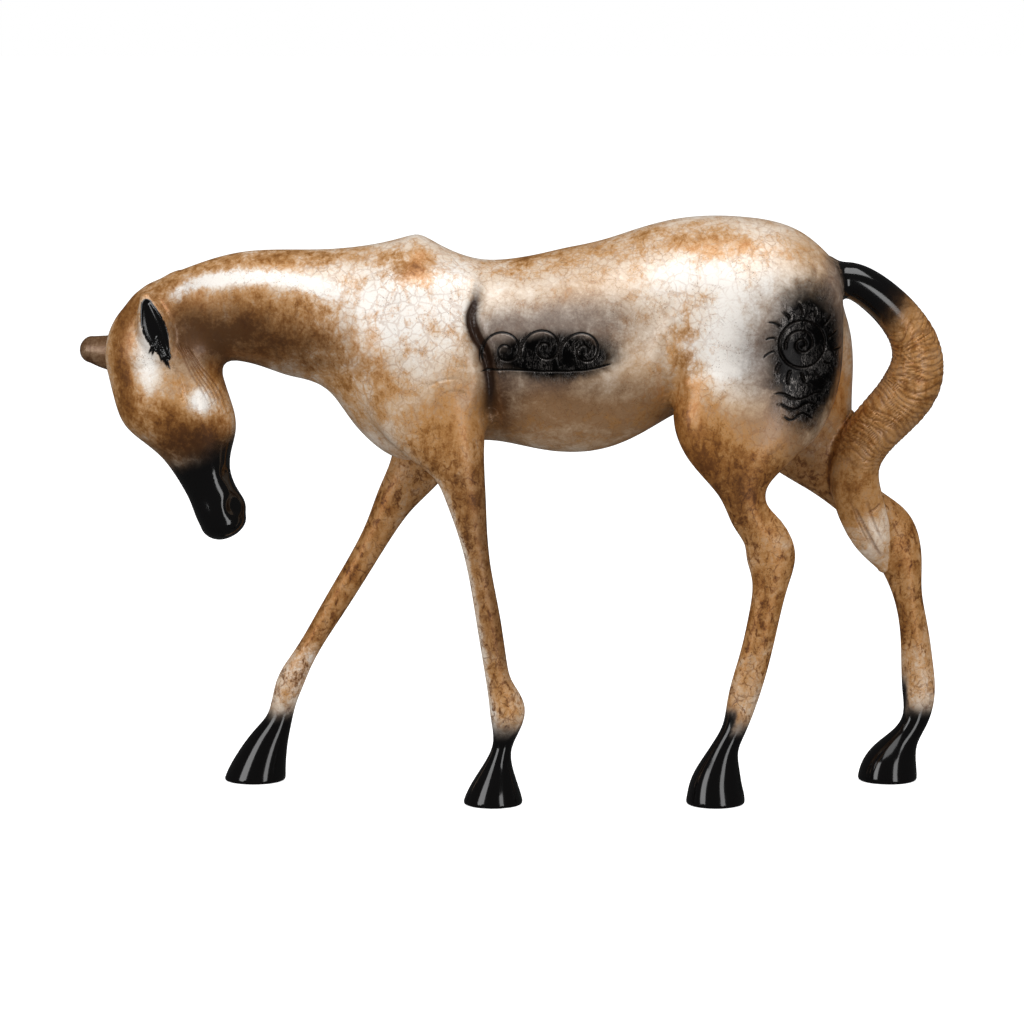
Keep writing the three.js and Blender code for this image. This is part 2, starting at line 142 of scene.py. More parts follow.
# %% Tail and ears
TAIL = [
    (212, 0, 358, 12, 12, 12), (232, 0, 361.6, 13.2, 11.8, 12.6), (252, 2, 351.4, 14.6, 12.4, 13.4),
    (270.4, 5, 333, 16.2, 13.6, 14.8), (281, 8, 312, 18.6, 16.2, 16.6), (280, 11, 291, 20.6, 19.4, 18),
    (267.6, 14, 271, 19.8, 19.4, 17), (251, 16, 251, 18, 18.4, 14.6), (242.4, 18, 231, 16.6, 17, 12),
    (243, 20.6, 212, 17, 17.4, 9.4), (249, 23.6, 194, 16, 17, 7.4), (256.6, 26, 175, 11, 13.6, 6),
    (263.4, 32, 156, 3, 4, 4),
]
NEAR_EAR = [
    (-240, -21, 312, 7, 7, 6), (-242.8, -22.6, 324, 11.6, 10, 7), (-247.4, -22.4, 338, 11.2, 9.4, 6.6),
    (-252.2, -20, 352, 4.4, 3.8, 4),
]
EAR_HOLLOW = [
    (-238.2, -29.6, 313, 4, 3, 3.4), (-242.8, -31.4, 325, 9.8, 7.4, 5), (-247.2, -30.8, 337, 9.4, 7.2, 5),
    (-251.2, -28, 347.6, 5, 4.4, 3.4),
]
FAR_EAR = [(-262, 20, 312, 14, 12, 9), (-279, 24, 309.8, 13.6, 12.2, 9), (-295.4, 28, 311, 9.2, 9.8, 8.6)]
print("stations of the tail:", len(TAIL))

# %% [markdown]
# ## Reading a limb anywhere
# Each span between two stations is a cubic. Neighbouring spans share slope and bend at their station, which
# takes one small set of equations, because a jump in the bend would show as a crease in the gloss.
# The distance from a point to a limb starts from the nearest place on the centre line. There the section is
# an oval, so the distance is worked out from how many half sizes the point lies off the centre.

# %% A limb that can be read at any place
SPOTS_PER_SPAN = 6       # places per span where the search for the nearest one starts
NEWTON_STEPS = 3         # refinements of that place
LONGEST_STEP = 0.2       # spans that one refinement may move it
LEAST_CHANGE = 0.3       # least share of the straight line's rate of change that it divides by
SECTION_SOFTNESS = 0.35  # how gently an oval's upper half turns into its lower one, in half sizes
FAR_AWAY = 100.0         # distance given to points that are well clear of a limb
CLEARANCE = 24.0         # margin around a limb's box inside which distances are worked out
CHUNK = 40000            # points handled at once, to keep the arrays small
TINY = 1e-6              # keeps a division away from zero


def nearest_spot(spots, points):
    """The number of the spot nearest to each point: the one with the least |spot|^2 - 2 spot . point."""
    return ((spots ** 2).sum(1) - 2 * points @ spots.T).argmin(1)


class Limb:
    """Oval sections along a natural cubic spline; place t counts stations, 0 at the first."""

    def __init__(self, stations, caps, sides):
        self.caps, self.sides = caps, sides
        s = np.array(stations, float)
        self.last = len(s) - 1
        span = np.linalg.norm(np.diff(s[:, :3], axis=0), axis=1)[:, None]
        rise = np.diff(s, axis=0) / span
        share, jump = np.eye(len(s)), np.zeros_like(s)
        for i in range(1, self.last):
            share[i, i - 1:i + 2] = span[i - 1, 0], 2 * (span[i - 1, 0] + span[i, 0]), span[i, 0]
            jump[i] = 6 * (rise[i] - rise[i - 1])
        bend = np.linalg.solve(share, jump)
        first = (rise - span * (2 * bend[:-1] + bend[1:]) / 6) * span
        self.cubic = np.stack([
            s[:-1], first, bend[:-1] * span ** 2 / 2, (bend[1:] - bend[:-1]) * span ** 2 / 6])
        self.starts = np.linspace(0, self.last, self.last * SPOTS_PER_SPAN + 1)
        self.spots = self.read(self.starts)[0][:, :3]
        widest = s[:, 3:].max()
        self.low = self.spots.min(0) - widest - CLEARANCE
        self.high = self.spots.max(0) + widest + CLEARANCE

    def read(self, t):
        """Centre and half sizes at t, with their slopes and bends: the span's cubic and its derivatives."""
        span = np.clip(t.astype(int), 0, self.last - 1)
        u = (t - span)[:, None]
        k0, k1, k2, k3 = self.cubic[:, span]
        return k0 + u * (k1 + u * (k2 + u * k3)), k1 + u * (2 * k2 + 3 * u * k3), 2 * k2 + 6 * u * k3

    def inside(self, points, margin=0.0):
        """Rows of the points in the limb's box, drawn in by the margin on every side."""
        return np.flatnonzero(((points > self.low + margin) & (points < self.high - margin)).all(1))

    def nearest(self, points):
        """t where the step from the centre line to the point is square to the line, by Newton's method."""
        t = self.starts[nearest_spot(self.spots, points)]
        for _ in range(NEWTON_STEPS):
            place, slope, bend = (part[:, :3] for part in self.read(t))
            step = points - place
            square = (slope ** 2).sum(1)
            change = np.minimum((step * bend).sum(1) - square, -LEAST_CHANGE * square)
            move = np.clip((step * slope).sum(1) / change, -LONGEST_STEP, LONGEST_STEP)
            t = np.clip(t - move, 0, self.last)
        return t

    def axes(self, t):
        """Centre, half sizes and three directions at t: along the line, sideways (+Y), and upper or rear."""
        value, slope, _ = self.read(t)
        along = slope[:, :3] / np.linalg.norm(slope[:, :3], axis=1)[:, None]
        side = np.array([0.0, 1.0, 0.0]) - along[:, 1:2] * along
        side /= np.linalg.norm(side, axis=1)[:, None]
        return value[:, :3], value[:, 3:], along, side, np.cross(along, side)

    def locate(self, points):
        """Place t, the ways up, out to the side and past an end, and the half sizes in these directions."""
        t = self.nearest(points)
        centre, halves, along, side, upper = self.axes(t)
        off = points - centre
        rise, out, run = ((off * way).sum(1) for way in (upper, side, along))
        past = np.where(t <= 0, np.minimum(run, 0), np.where(t >= self.last, np.maximum(run, 0), 0))
        middle = (halves[:, 0] + halves[:, 1]) / 2
        lean = (halves[:, 0] - halves[:, 1]) / 2
        turn = rise / np.sqrt(rise ** 2 + (SECTION_SOFTNESS * middle) ** 2)
        rise_half = middle + lean * turn * math.hypot(1, SECTION_SOFTNESS)
        cap = np.where(t <= 0, self.caps[0] or 1, self.caps[1] or 1)
        return t, rise, out, past, rise_half, halves[:, 2], cap

    def distance(self, points):
        """How far outside the limb: r (r - 1) / |gradient of r|, where r counts half sizes off the centre."""
        result = np.full(len(points), FAR_AWAY)
        rows = self.inside(points)
        for part in (rows[start:start + CHUNK] for start in range(0, len(rows), CHUNK)):
            _, rise, out, past, rise_half, side_half, cap = self.locate(points[part])
            reach = np.sqrt((rise / rise_half) ** 2 + (out / side_half) ** 2 + (past / cap) ** 2)
            slope = np.sqrt((rise / rise_half ** 2) ** 2 + (out / side_half ** 2) ** 2
                            + (past / cap ** 2) ** 2)
            result[part] = reach * (reach - 1) / np.maximum(slope, TINY)
        return result


# %% The horse's limbs: stations, how far each end is rounded off, and sides of the rough tube
trunk = Limb(TRUNK, (24, 14), 48)
head = Limb(HEAD, (48.5, 13), 40)
poll = Limb(POLL, (14, 14), 16)
near_fore = Limb(NEAR_FORE, (22, 0), 28)
far_fore = Limb(FAR_FORE, (22, 0), 28)
near_hind = Limb(NEAR_HIND, (26, 0), 28)
far_hind = Limb(FAR_HIND, (26, 0), 28)
tail = Limb(TAIL, (0, 4), 28)
near_ear = Limb(NEAR_EAR, (6, 3), 20)
ear_hollow = Limb(EAR_HOLLOW, (5, 4), 20)
far_ear = Limb(FAR_EAR, (6, 8.6), 20)
HOLLOWS_BETWEEN = [  # the limbs that leave the trunk, each with the width of the soft hollow where it does
    (head, 13.0), (poll, 8.0), (near_fore, 9.0), (far_fore, 9.0), (near_hind, 9.0), (far_hind, 9.0),
    (tail, 6.0), (near_ear, 5.0), (far_ear, 5.0),
]
print("limbs:", 1 + len(HOLLOWS_BETWEEN), "and the hollow of the near ear")

# %% [markdown]
# ## One skin over all limbs
# In the real casting no seam shows: each limb runs into the trunk with a soft hollow. Joining meshes with a
# boolean and smoothing them would give that only roughly. Here the distances to the limbs are blended
# instead. The smaller of two distances wins, and where they are alike it is lowered a little, which fills
# the crease between them. The ear's hollow and the floor are cut out in the same soft way.

# %% The blended skin
SOLE_ROUNDING = 3.0  # width over which a hoof's side turns into its flat sole
RIM_ROUNDING = 0.8   # the same for the ear's rim
NUDGE = 0.12         # how far around a point a field is read to find its slope
FLATTEST = 0.25      # least squared slope that a step to the skin divides by


def blended(a, b, width):
    """The smaller of a and b, less share ** 2 * width / 4; share is 1 where they are alike, 0 width apart."""
    share = np.maximum(width - np.abs(a - b), 0) / width
    return np.minimum(a, b) - share ** 2 * width / 4


def skin_distance(points):
    """How far outside the uncarved horse: all limbs blended, less ear's hollow and all below the floor."""
    distance = trunk.distance(points)
    for limb, width in HOLLOWS_BETWEEN:
        distance = blended(distance, limb.distance(points), width)
    distance = -blended(-distance, ear_hollow.distance(points), RIM_ROUNDING)
    return -blended(-distance, points[:, 2], SOLE_ROUNDING)


def steepest(field, points):
    """The direction in which a field grows, from its values at the four corners of a small tetrahedron."""
    total = np.zeros_like(points)
    for corner in np.array([(1, -1, -1), (-1, -1, 1), (-1, 1, -1), (1, 1, 1)], float):
        total += corner * field(points + NUDGE * corner)[:, None]
    return total / (4 * NUDGE)


def settled(points, passes, reach):
    """Points moved onto the skin, where its distance is zero: each pass steps back by distance over slope."""
    for _ in range(passes):
        value = skin_distance(points)
        slope = steepest(skin_distance, points)
        square = np.maximum((slope ** 2).sum(1), FLATTEST)
        points = points - slope * np.clip(value / square, -reach, reach)[:, None]
    return points


above = np.array([(x, y, z + upper + 10) for x, y, z, upper, *_ in TRUNK])
print("skin_distance 10 mm above each station of the trunk:", skin_distance(above).round(1))

# %% [markdown]
# ## From rows of ovals to one closed mesh
# Each limb becomes a closed tube: a grid of rings with both ends rounded off. Blender's voxel remesh then
# fuses the overlapping tubes into one even skin, which is quicker and cleaner than nine booleans. Its
# steps don't matter, because every corner is moved onto the blended skin afterwards.

# %% Tubes
RINGS_PER_SPAN = 4
CAP_RINGS = 5


def tube(limb):
    """Rings of corners centre + upper * half * cos(turn) + side * half * sin(turn), and two poles."""
    t = np.linspace(0, limb.last, limb.last * RINGS_PER_SPAN + 1)
    centre, halves, along, side, upper = limb.axes(t)
    start, end = limb.caps
    angle = np.linspace(0, math.pi / 2, CAP_RINGS + 1)[1:-1]
    shrink = np.concatenate([np.cos(angle[::-1]), np.ones(len(t)), np.cos(angle)])[:, None]
    push = np.concatenate([-start * np.sin(angle[::-1]), np.zeros(len(t)), end * np.sin(angle)])[:, None]
    row = np.concatenate([np.zeros(len(angle), int), np.arange(len(t)), np.full(len(angle), len(t) - 1)])
    turn = np.arange(limb.sides) / limb.sides * 2 * math.pi
    half = np.where(np.cos(turn)[None] > 0, halves[row, 0:1], halves[row, 1:2]) * shrink
    rings = (centre[row] + push * along[row])[:, None]
    rings = rings + (np.cos(turn)[None] * half)[:, :, None] * upper[row][:, None]
    rings = rings + (np.sin(turn)[None] * halves[row, 2:] * shrink)[:, :, None] * side[row][:, None]
    poles = np.array([centre[0] - start * along[0], centre[-1] + end * along[-1]])
    i = np.arange(limb.sides)
    j = (i + 1) % limb.sides
    first = (np.arange(len(row) - 1) * limb.sides)[:, None]
    walls = np.stack([first + i, first + limb.sides + i, first + limb.sides + j, first + j], axis=-1)
    top = len(row) * limb.sides
    rim = top - limb.sides
    start_cap = np.stack([np.full_like(i, top), i, j], axis=-1)
    end_cap = np.stack([np.full_like(i, top + 1), rim + j, rim + i], axis=-1)
    corners = np.vstack([rings.reshape(-1, 3), poles])
    return corners, walls.reshape(-1, 4), np.vstack([start_cap, end_cap])


def mesh_from(name, corners, faces):
    """A mesh data block from an array of corners in metres and a list of faces."""
    mesh = bpy.data.meshes.new(name)
    mesh.from_pydata(corners.tolist(), [], faces)
    mesh.validate()
    return mesh


all_corners, all_faces, count = [], [], 0
for limb in [trunk] + [limb for limb, _ in HOLLOWS_BETWEEN]:
    corners, walls, caps = tube(limb)
    corners[:, 2] = np.maximum(corners[:, 2], 0)
    all_corners.append(corners * MM)
    all_faces += (walls + count).tolist() + (caps + count).tolist()
    count += len(corners)
print("tubes:", len(all_corners), "with", count, "corners")

# %% Tubes fused into a rough skin
ROUGH_VOXEL = 4.2

rough = bpy.data.objects.new("rough", mesh_from("rough", np.vstack(all_corners), all_faces))
bpy.context.scene.collection.objects.link(rough)
remesh = rough.modifiers.new("fuse", "REMESH")
remesh.mode = "VOXEL"
remesh.voxel_size = ROUGH_VOXEL * MM
fused = rough.evaluated_get(bpy.context.evaluated_depsgraph_get()).to_mesh()
points = np.empty(len(fused.vertices) * 3)
fused.vertices.foreach_get("co", points)
points = points.reshape(-1, 3) / MM
fused.calc_loop_triangles()
triangles = np.empty(len(fused.loop_triangles) * 3, np.int32)
fused.loop_triangles.foreach_get("vertices", triangles)
triangles = triangles.reshape(-1, 3)
bpy.data.objects.remove(rough)
print("rough skin:", len(points), "corners,", len(triangles), "triangles")

# %% [markdown]
# ## Strokes in the side view
# The finer forms were worked into the wax by hand: creases, folds, wrinkles and engraved lines. A modeller
# would sculpt them. Here each one is a stroke, a smooth line through a few places in the side view, and the
# skin sinks by a soft valley along it. That keeps every line a few readable numbers.

# %% A stroke and how deep it cuts
STROKE_STEP = 0.7   # millimetres between the places at which a stroke is kept
VALLEY_REACH = 3.0  # half widths past which a valley no longer counts


def smooth(x):
    """0 below 0, 1 above 1, and x * x * (3 - 2 x) in between."""
    x = np.clip(x, 0, 1)
    return x * x * (3 - 2 * x)


def lengths_along(line):
    """How far each place of a line is from its start: the sum of all steps up to it."""
    return np.concatenate([[0], np.cumsum(np.linalg.norm(np.diff(line, axis=0), axis=1))])


class Stroke:
    """A smooth line through (x, z) places that sinks the skin by depth, in a valley of a half width.

    Ends are the shares of its length over which it fades. Steep is a factor on the half width of one side,
    the one toward the tail where the line runs down.
    """

    def __init__(self, places, depth, width, ends, steep=1.0):
        p = np.array(places, float)
        ring = np.vstack([2 * p[0] - p[1], p, 2 * p[-1] - p[-2]])
        a, b, c, d = (part[:, None] for part in (ring[:-3], ring[1:-2], ring[2:-1], ring[3:]))
        steps = max(2, int(np.linalg.norm(np.diff(p, axis=0), axis=1).max() / STROKE_STEP))
        u = (np.arange(steps) / steps)[None, :, None]
        cubed = (d - a) / 2 + 1.5 * (b - c)
        curve = b + u * ((c - a) / 2 + u * (a - 2.5 * b + 2 * c - d / 2 + u * cubed))
        self.line = np.vstack([curve.reshape(-1, 2), p[-1:]])
        slope = np.gradient(self.line, axis=0)
        self.slope = slope / np.linalg.norm(slope, axis=1)[:, None]
        length = lengths_along(self.line)
        self.share = length / length[-1]
        self.depth, self.width, self.ends, self.steep = depth, width, ends, steep

    def measure(self, points, reach):
        """Rows of the points within reach, their distance to the line, share of its length, and side."""
        x, z = points[:, 0], points[:, 2]
        low, high = self.line.min(0) - reach, self.line.max(0) + reach
        rows = np.flatnonzero((x > low[0]) & (x < high[0]) & (z > low[1]) & (z < high[1]))
        place = points[rows][:, (0, 2)]
        near = nearest_spot(self.line, place)
        off = place - self.line[near]
        run = (off * self.slope[near]).sum(1)
        across = off[:, 0] * self.slope[near, 1] - off[:, 1] * self.slope[near, 0]
        distance = np.hypot(across, np.maximum(np.abs(run) - STROKE_STEP / 2, 0))
        return rows, distance, self.share[near], across

    def sink(self, points):
        """depth * exp(-(distance / width) ** 2), fading to nothing over a share of the line at both ends."""
        rows, distance, share, across = self.measure(points, VALLEY_REACH * self.width * max(1, self.steep))
        width = self.width * np.where(across > 0, 1.0, self.steep)
        start, end = self.ends
        fade = smooth(share / max(start, TINY)) * smooth((1 - share) / max(end, TINY))
        result = np.zeros(len(points))
        result[rows] = self.depth * np.exp(-(distance / width) ** 2) * fade
        return result


def valleys(strokes, points):
    """The valleys of several strokes, added up."""
    return sum(stroke.sink(points) for stroke in strokes)


def deepest(strokes, points):
    """The deepest valley of several strokes at each point, so that crossing lines don't add up."""
    return np.maximum.reduce([stroke.sink(points) for stroke in strokes])


# %% [markdown]
# ## Creases, folds and the engraved motifs
# Two creases are deep enough to show in the outline: one behind the shoulder and one before the thigh. They
# run down both flanks, and the head has a groove before the cheek and a shallow valley on the muzzle on both
# sides. The left side also has a sharp cut in the shoulder crease, a raised fold on the flank, wrinkles on
# the shoulder, and two engraved motifs on smoky dark patches: a row of running waves on the ribs, and on the
# hip a spiral with a ring and rays above three wavy lines. The curls are log spirals, drawn by a loop.

# %% Creases, wrinkles and folds: places, depth, half width and faded ends
BOTH_FLANKS = [
    Stroke([(-24, 366), (-26, 330), (-22, 318), (-16, 296), (-14, 262)], 4.5, 6.0, (0.45, 0.15)),
    Stroke([(108, 362), (109, 330), (107, 304), (110, 270)], 3.0, 8.0, (0.5, 0.2)),
    Stroke([(-235, 308), (-231.5, 298), (-228, 288), (-227, 277)], 1.5, 2.2, (0.3, 0.4)),
    Stroke([(-224, 250), (-214, 233), (-205, 217)], 0.7, 5.0, (0.4, 0.4)),
]
SHOULDER_CUT = Stroke([
    (-24, 374), (-24.5, 356), (-29, 341), (-26.3, 329), (-19.5, 317), (-17, 303), (-15, 284), (-16, 262),
], 3.0, 2.6, (0.4, 0.6), 1.8)
WRINKLES = [
    Stroke([(-61.4, 289.4), (-56, 293.5), (-48.5, 296.9), (-39, 298), (-33.5, 296.7)], 0.6, 1.1, (0.3, 0.3)),
    Stroke([(-52, 284), (-45, 288.5), (-37, 289.5), (-30, 287)], 0.45, 1.0, (0.3, 0.3)),
    Stroke([(-42, 304), (-35, 306.5), (-29, 305)], 0.4, 1.0, (0.3, 0.3)),
]
FOLDS = [
    Stroke([(116, 329), (112.5, 318), (109, 307), (108, 297), (110, 288)], -1.4, 2.8, (0.5, 0.5)),
    Stroke([(121, 330), (117, 318), (113.5, 306), (113, 292), (116, 278)], 0.9, 2.8, (0.5, 0.5)),
    Stroke([(104.5, 318), (103, 306), (103.5, 292), (107, 278)], 1.0, 2.8, (0.5, 0.5)),
]
NEAR_FLANK = [SHOULDER_CUT] + WRINKLES + FOLDS
print("strokes on both sides:", len(BOTH_FLANKS), "and on the near flank:", len(NEAR_FLANK))

# %% The engraved motifs
LINE_DEPTH = 0.85
LINE_WIDTH = 0.85      # half width
WAVE_RADIUS = 10.5
WAVE_PITCH = 27.0
WAVES_AT = (-4.5, 317.5)
HIP_AT = np.array([198.0, 322.0])
HIP_SPIRAL = 12.5
HIP_RING = 16.0
RAYS = 14
RAY_REACH = (19.0, 27.5)
RAY_BEND = 0.16        # radians by which a ray's tip is turned
LONG_RAY = 3.5         # how much longer every second ray is
WATER_GAP = 8.0        # from the rays down to the first wavy line
WATER_PITCH = 7.0
WATER_RISE = 2.2
WATER_HALF = (21, 17, 13)  # half lengths of the wavy lines


def engrave(places, start, end, depth=LINE_DEPTH):
    """Adds an engraved line that fades over a share of its length at its start and its end."""
    engraved.append(Stroke(places, depth, LINE_WIDTH, (start, end)))


def spiral(centre, start, outer, inner, turns, places):
    """Places on a log spiral: the radius falls evenly on a log scale while the angle runs back by turns."""
    u = np.linspace(0, 1, places)
    radius = outer * (inner / outer) ** u
    angle = math.radians(start) - u * turns * 2 * math.pi
    return np.stack([centre[0] + radius * np.cos(angle), centre[1] + radius * np.sin(angle)], axis=1)


engraved = []
for wave in range(3):
    middle = (WAVES_AT[0] + wave * WAVE_PITCH, WAVES_AT[1] + 1.5 * math.sin(wave * math.pi / 2))
    engrave(spiral(middle, 218, 1.75 * WAVE_RADIUS, 0.2 * WAVE_RADIUS, turns=1.9, places=26), 0.1, 0.05)
    under = spiral(middle, 232, 2.0 * WAVE_RADIUS, 1.25 * WAVE_RADIUS, turns=0.42, places=9)
    engrave(under, 0.3, 0.5, 0.6 * LINE_DEPTH)
engrave([(-26, 302), (-5, 304.5), (22, 303.5), (50, 304.5), (72, 310)], 0.1, 0.1)
engrave(spiral(HIP_AT, 200, HIP_SPIRAL, 1.6, turns=2.0, places=28), 0.04, 0.05)
engrave(spiral(HIP_AT, 90, HIP_RING, HIP_RING, turns=1.0, places=25), 0, 0)
for ray in range(RAYS):
    reach = np.linspace(RAY_REACH[0], RAY_REACH[1] + LONG_RAY * (ray % 2), 4)
    angle = (ray + 0.5) / RAYS * 2 * math.pi + RAY_BEND * np.linspace(0, 1, 4) ** 2
    engrave(HIP_AT + np.stack([reach * np.cos(angle), reach * np.sin(angle)], axis=1), 0.1, 0.5)
for row, half in enumerate(WATER_HALF):
    u = np.linspace(0, 1, 9)
    height = WATER_RISE * np.sin(u * 3 * math.pi + row) - RAY_REACH[1] - WATER_GAP - WATER_PITCH * row
    engrave(HIP_AT + np.stack([half * (2 * u - 1) - 2, height], axis=1), 0.2, 0.2)
print("engraved lines:", len(engraved))

# %% [markdown]
# ## The head and the tail
# The head has no eyes. It has a round cheek, hair lines from the ear's root down the jaw, tufts of hair below
# the ear, two nostrils and a dimple at the mouth. The tail is ringed with fine wavy wrinkles, like a trunk,
# and ends in a leaf with a few cut lines. The wrinkles are waves of the length along the tail, shifted by
# slow waves along and around it, so no two of them run the same.

# %% Hair and cut lines
FIRST_HAIR = np.array([(-232, 322), (-226.5, 311), (-221, 299), (-215.5, 290), (-210, 278), (-205, 264)])
HAIR_SPREAD = np.array([(7, -3), (8, -1.5), (12, -2), (14, -6), (13, -7), (11, -5)])  # to the last strand
TUFT_ROOT = np.array([-243.5, 326])
TUFT_TIPS = np.array([
    (-251.5, 311), (-248.8, 309.5), (-240.5, 304), (-236.4, 300), (-233.6, 297.5), (-232.6, 308)])
TUFT_RISE = 0.5

hair = [Stroke(FIRST_HAIR + share * HAIR_SPREAD, 0.4, 0.7, (0.1, 0.5)) for share in np.linspace(0, 1, 5)]
tufts = [Stroke([TUFT_ROOT, (0.45, 0.42) * TUFT_ROOT + (0.55, 0.58) * tip, tip], TUFT_RISE, 0.9, (0.0, 0.5))
         for tip in TUFT_TIPS]
tip_lines = [
    Stroke([(240.5, 203), (246, 192), (254, 177), (264, 160)], 0.8, 0.9, (0.15, 0.3)),
    Stroke([(250.5, 196.5), (255, 199), (261, 204)], 0.6, 0.8, (0.2, 0.3)),
    Stroke([(249, 210), (253, 196), (258, 184), (264, 172)], 0.4, 0.8, (0.3, 0.3)),
    Stroke([(236, 214), (240, 200), (247, 184), (256, 168)], 0.35, 0.8, (0.3, 0.3)),
]
print("hair lines:", len(hair), "tufts:", len(tufts), "lines on the tail's leaf:", len(tip_lines))

# %% Dents and the tail's wrinkles
DENTS = [  # centre x, |y|, z, radii in x, y and z, and how deep
    (-216.6, 26, 277.5, 12.5, 14, 13.5, -2.2),  # the round cheek
    (-199.5, 8, 229, 3.2, 6, 4.5, 1.2),         # dimple at the mouth
    (-240, 26, 262, 12, 14, 16, 0.9),           # before the cheek
    (176.5, 50, 199, 5, 12, 14, 1.0),           # near the hock
    (-4.5, 48, 60, 6, 10, 9, -0.5),             # at the fetlock
]
NOSTRIL = (-192.5, 12.0, 206.0)
NOSTRIL_RADII = (6.5, 9.0, 7.5)
NOSTRIL_DEPTH = 2.8
RING_PITCH = 3.5
COARSE_PITCH = 1.43 * RING_PITCH
RING_DEPTH = 0.55
RINGED = (2.6, 3.4, 7.3, 8.6)  # places on the tail where the wrinkles start, are full, fade and end
LEAF_START = 7                 # place on the tail from which its cut lines may run
tail_length = lengths_along(tail.spots)


def ripples(along, angle, pitch, sharpness, waves):
    """(0.5 + 0.5 cos(2 pi (along / pitch + shift))) ** sharpness; each wave of the shift is a size times the
    sine of a number of turns around the tail, a pace along it and a start."""
    shift = sum(size * np.sin(turns * angle + pace * along + start) for size, turns, pace, start in waves)
    return (0.5 + 0.5 * np.cos(2 * math.pi * (along / pitch + shift))) ** sharpness


def tail_rings(points):
    """Two families of wrinkles at an even pitch along the tail, the fine ones in patches."""
    result = np.zeros(len(points))
    rows = tail.inside(points, CLEARANCE - 2)
    t, rise, out, _, rise_half, side_half, _ = tail.locate(points[rows])
    reach = np.hypot(rise / rise_half, out / side_half)
    along = np.interp(t, tail.starts, tail_length)
    angle = np.arctan2(out / side_half, rise / rise_half)
    fine = ripples(along, angle, RING_PITCH, 3, [(0.45, 2, 0.11, 0), (0.3, 3, -0.23, 1)])
    coarse = ripples(along, angle, COARSE_PITCH, 4, [(0.5, 1, -0.17, 2), (0.35, 4, 0.09, 0)])
    patches = 0.6 + 0.4 * np.sin(0.31 * along + 2 * angle) * np.sin(0.19 * along - angle + 1)
    start, full, fading, end = RINGED
    zone = smooth((t - start) / (full - start)) * smooth((end - t) / (end - fading))
    result[rows] = RING_DEPTH * np.maximum(fine * patches, 0.8 * coarse) * zone * smooth((1.25 - reach) / 0.1)
    return result


def side_share(points, start, width):
    """0 at the middle plane and 1 once the point is start + width out, on either side."""
    return smooth((np.abs(points[:, 1]) - start) / width)


def on_leaf(points):
    """1 on the left face of the tail's leaf, 0 elsewhere, for lines that belong to the leaf alone."""
    result = np.zeros(len(points))
    rows = tail.inside(points)
    t, rise, out, _, rise_half, side_half, _ = tail.locate(points[rows])
    reach = np.hypot(rise / rise_half, out / side_half)
    result[rows] = smooth((1.3 - reach) / 0.1) * smooth(-out / 2) * (t > LEAF_START)
    return result


def fine_valleys(points):
    """The shallow lines in which stain gathers: hair, and the tail's rings and cuts."""
    total = deepest(hair, points) * side_share(points, 6, 8)
    return total + valleys(tip_lines, points) * on_leaf(points) + tail_rings(points)


# %% All relief together
def sink(points):
    """How far the relief lies below the smooth skin: the sum of all valleys and dents."""
    both = side_share(points, 10, 10)
    near = both * (points[:, 1] < 0)
    total = valleys(BOTH_FLANKS, points) * both
    total += (valleys(NEAR_FLANK, points) + deepest(engraved, points) - deepest(tufts, points)) * near
    folded = points.copy()
    folded[:, 1] = np.abs(folded[:, 1])
    for x, y, z, rx, ry, rz, depth in DENTS:
        total += depth * np.exp(-(((folded - (x, y, z)) / (rx, ry, rz)) ** 2).sum(1))
    off = np.sqrt((((folded - NOSTRIL) / NOSTRIL_RADII) ** 2).sum(1))
    total += NOSTRIL_DEPTH * np.exp(-off ** 3)
    return total + fine_valleys(points)


rough_relief = sink(points)
print("relief on the rough skin:", rough_relief.min().round(1), "to", rough_relief.max().round(1), "mm")

# %% [markdown]
# ## Small triangles only where they are needed
# An even mesh fine enough for an engraved line would have millions of triangles. Instead every edge is
# asked how long it may be: short beside a carved line, and short where the skin bends between its ends.
# Edges that are too long get a corner in the middle. A triangle with one such edge becomes two, and with
# more, four.

# %% The longest edge allowed
ANY_EDGE = 50.0
STROKE_REACH = 12.0   # how far from a stroke it still shortens the edges
STROKE_EDGE = 0.75    # longest edge on a stroke, in its half widths
STROKE_CORE = 1.3     # half widths from its middle from which the edges may grow
EDGE_GROWTH = 0.9     # and how fast
RING_EDGE = 1.0
SPOT_EDGE = 1.2
FINE_SPOTS = [(*NOSTRIL, 9), (-244, 28, 330, 22), (-199.5, 8, 229, 6)]  # x, |y|, z and radius


def wished_length(points):
    """The longest edge allowed at a place: short on a stroke, ring or fine spot, longer away from them."""
    wish = np.full(len(points), ANY_EDGE)
    near = points[:, 1] < -6
    on_both = tip_lines + hair + BOTH_FLANKS
    for stroke in NEAR_FLANK + engraved + tufts + on_both:
        rows, distance, _, _ = stroke.measure(points, STROKE_REACH)
        growing = EDGE_GROWTH * (distance - STROKE_CORE * stroke.width)
        allowed = np.maximum(STROKE_EDGE * stroke.width, growing)
        wish[rows] = np.minimum(wish[rows], np.where(near[rows] | (stroke in on_both), allowed, ANY_EDGE))
    rows = tail.inside(points, CLEARANCE)
    t, rise, out, _, rise_half, side_half, _ = tail.locate(points[rows])
    ringed = (t > RINGED[0]) & (t < RINGED[3]) & (np.hypot(rise / rise_half, out / side_half) < 1.15)
    wish[rows] = np.where(ringed, np.minimum(wish[rows], RING_EDGE), wish[rows])
    for x, y, z, radius in FINE_SPOTS:
        off = np.sqrt((points[:, 0] - x) ** 2 + (np.abs(points[:, 1]) - y) ** 2 + (points[:, 2] - z) ** 2)
        wish = np.where(off < radius, np.minimum(wish, SPOT_EDGE), wish)
    return wish


print("edges on the rough skin may be", wished_length(points).min().round(2), "mm and longer")

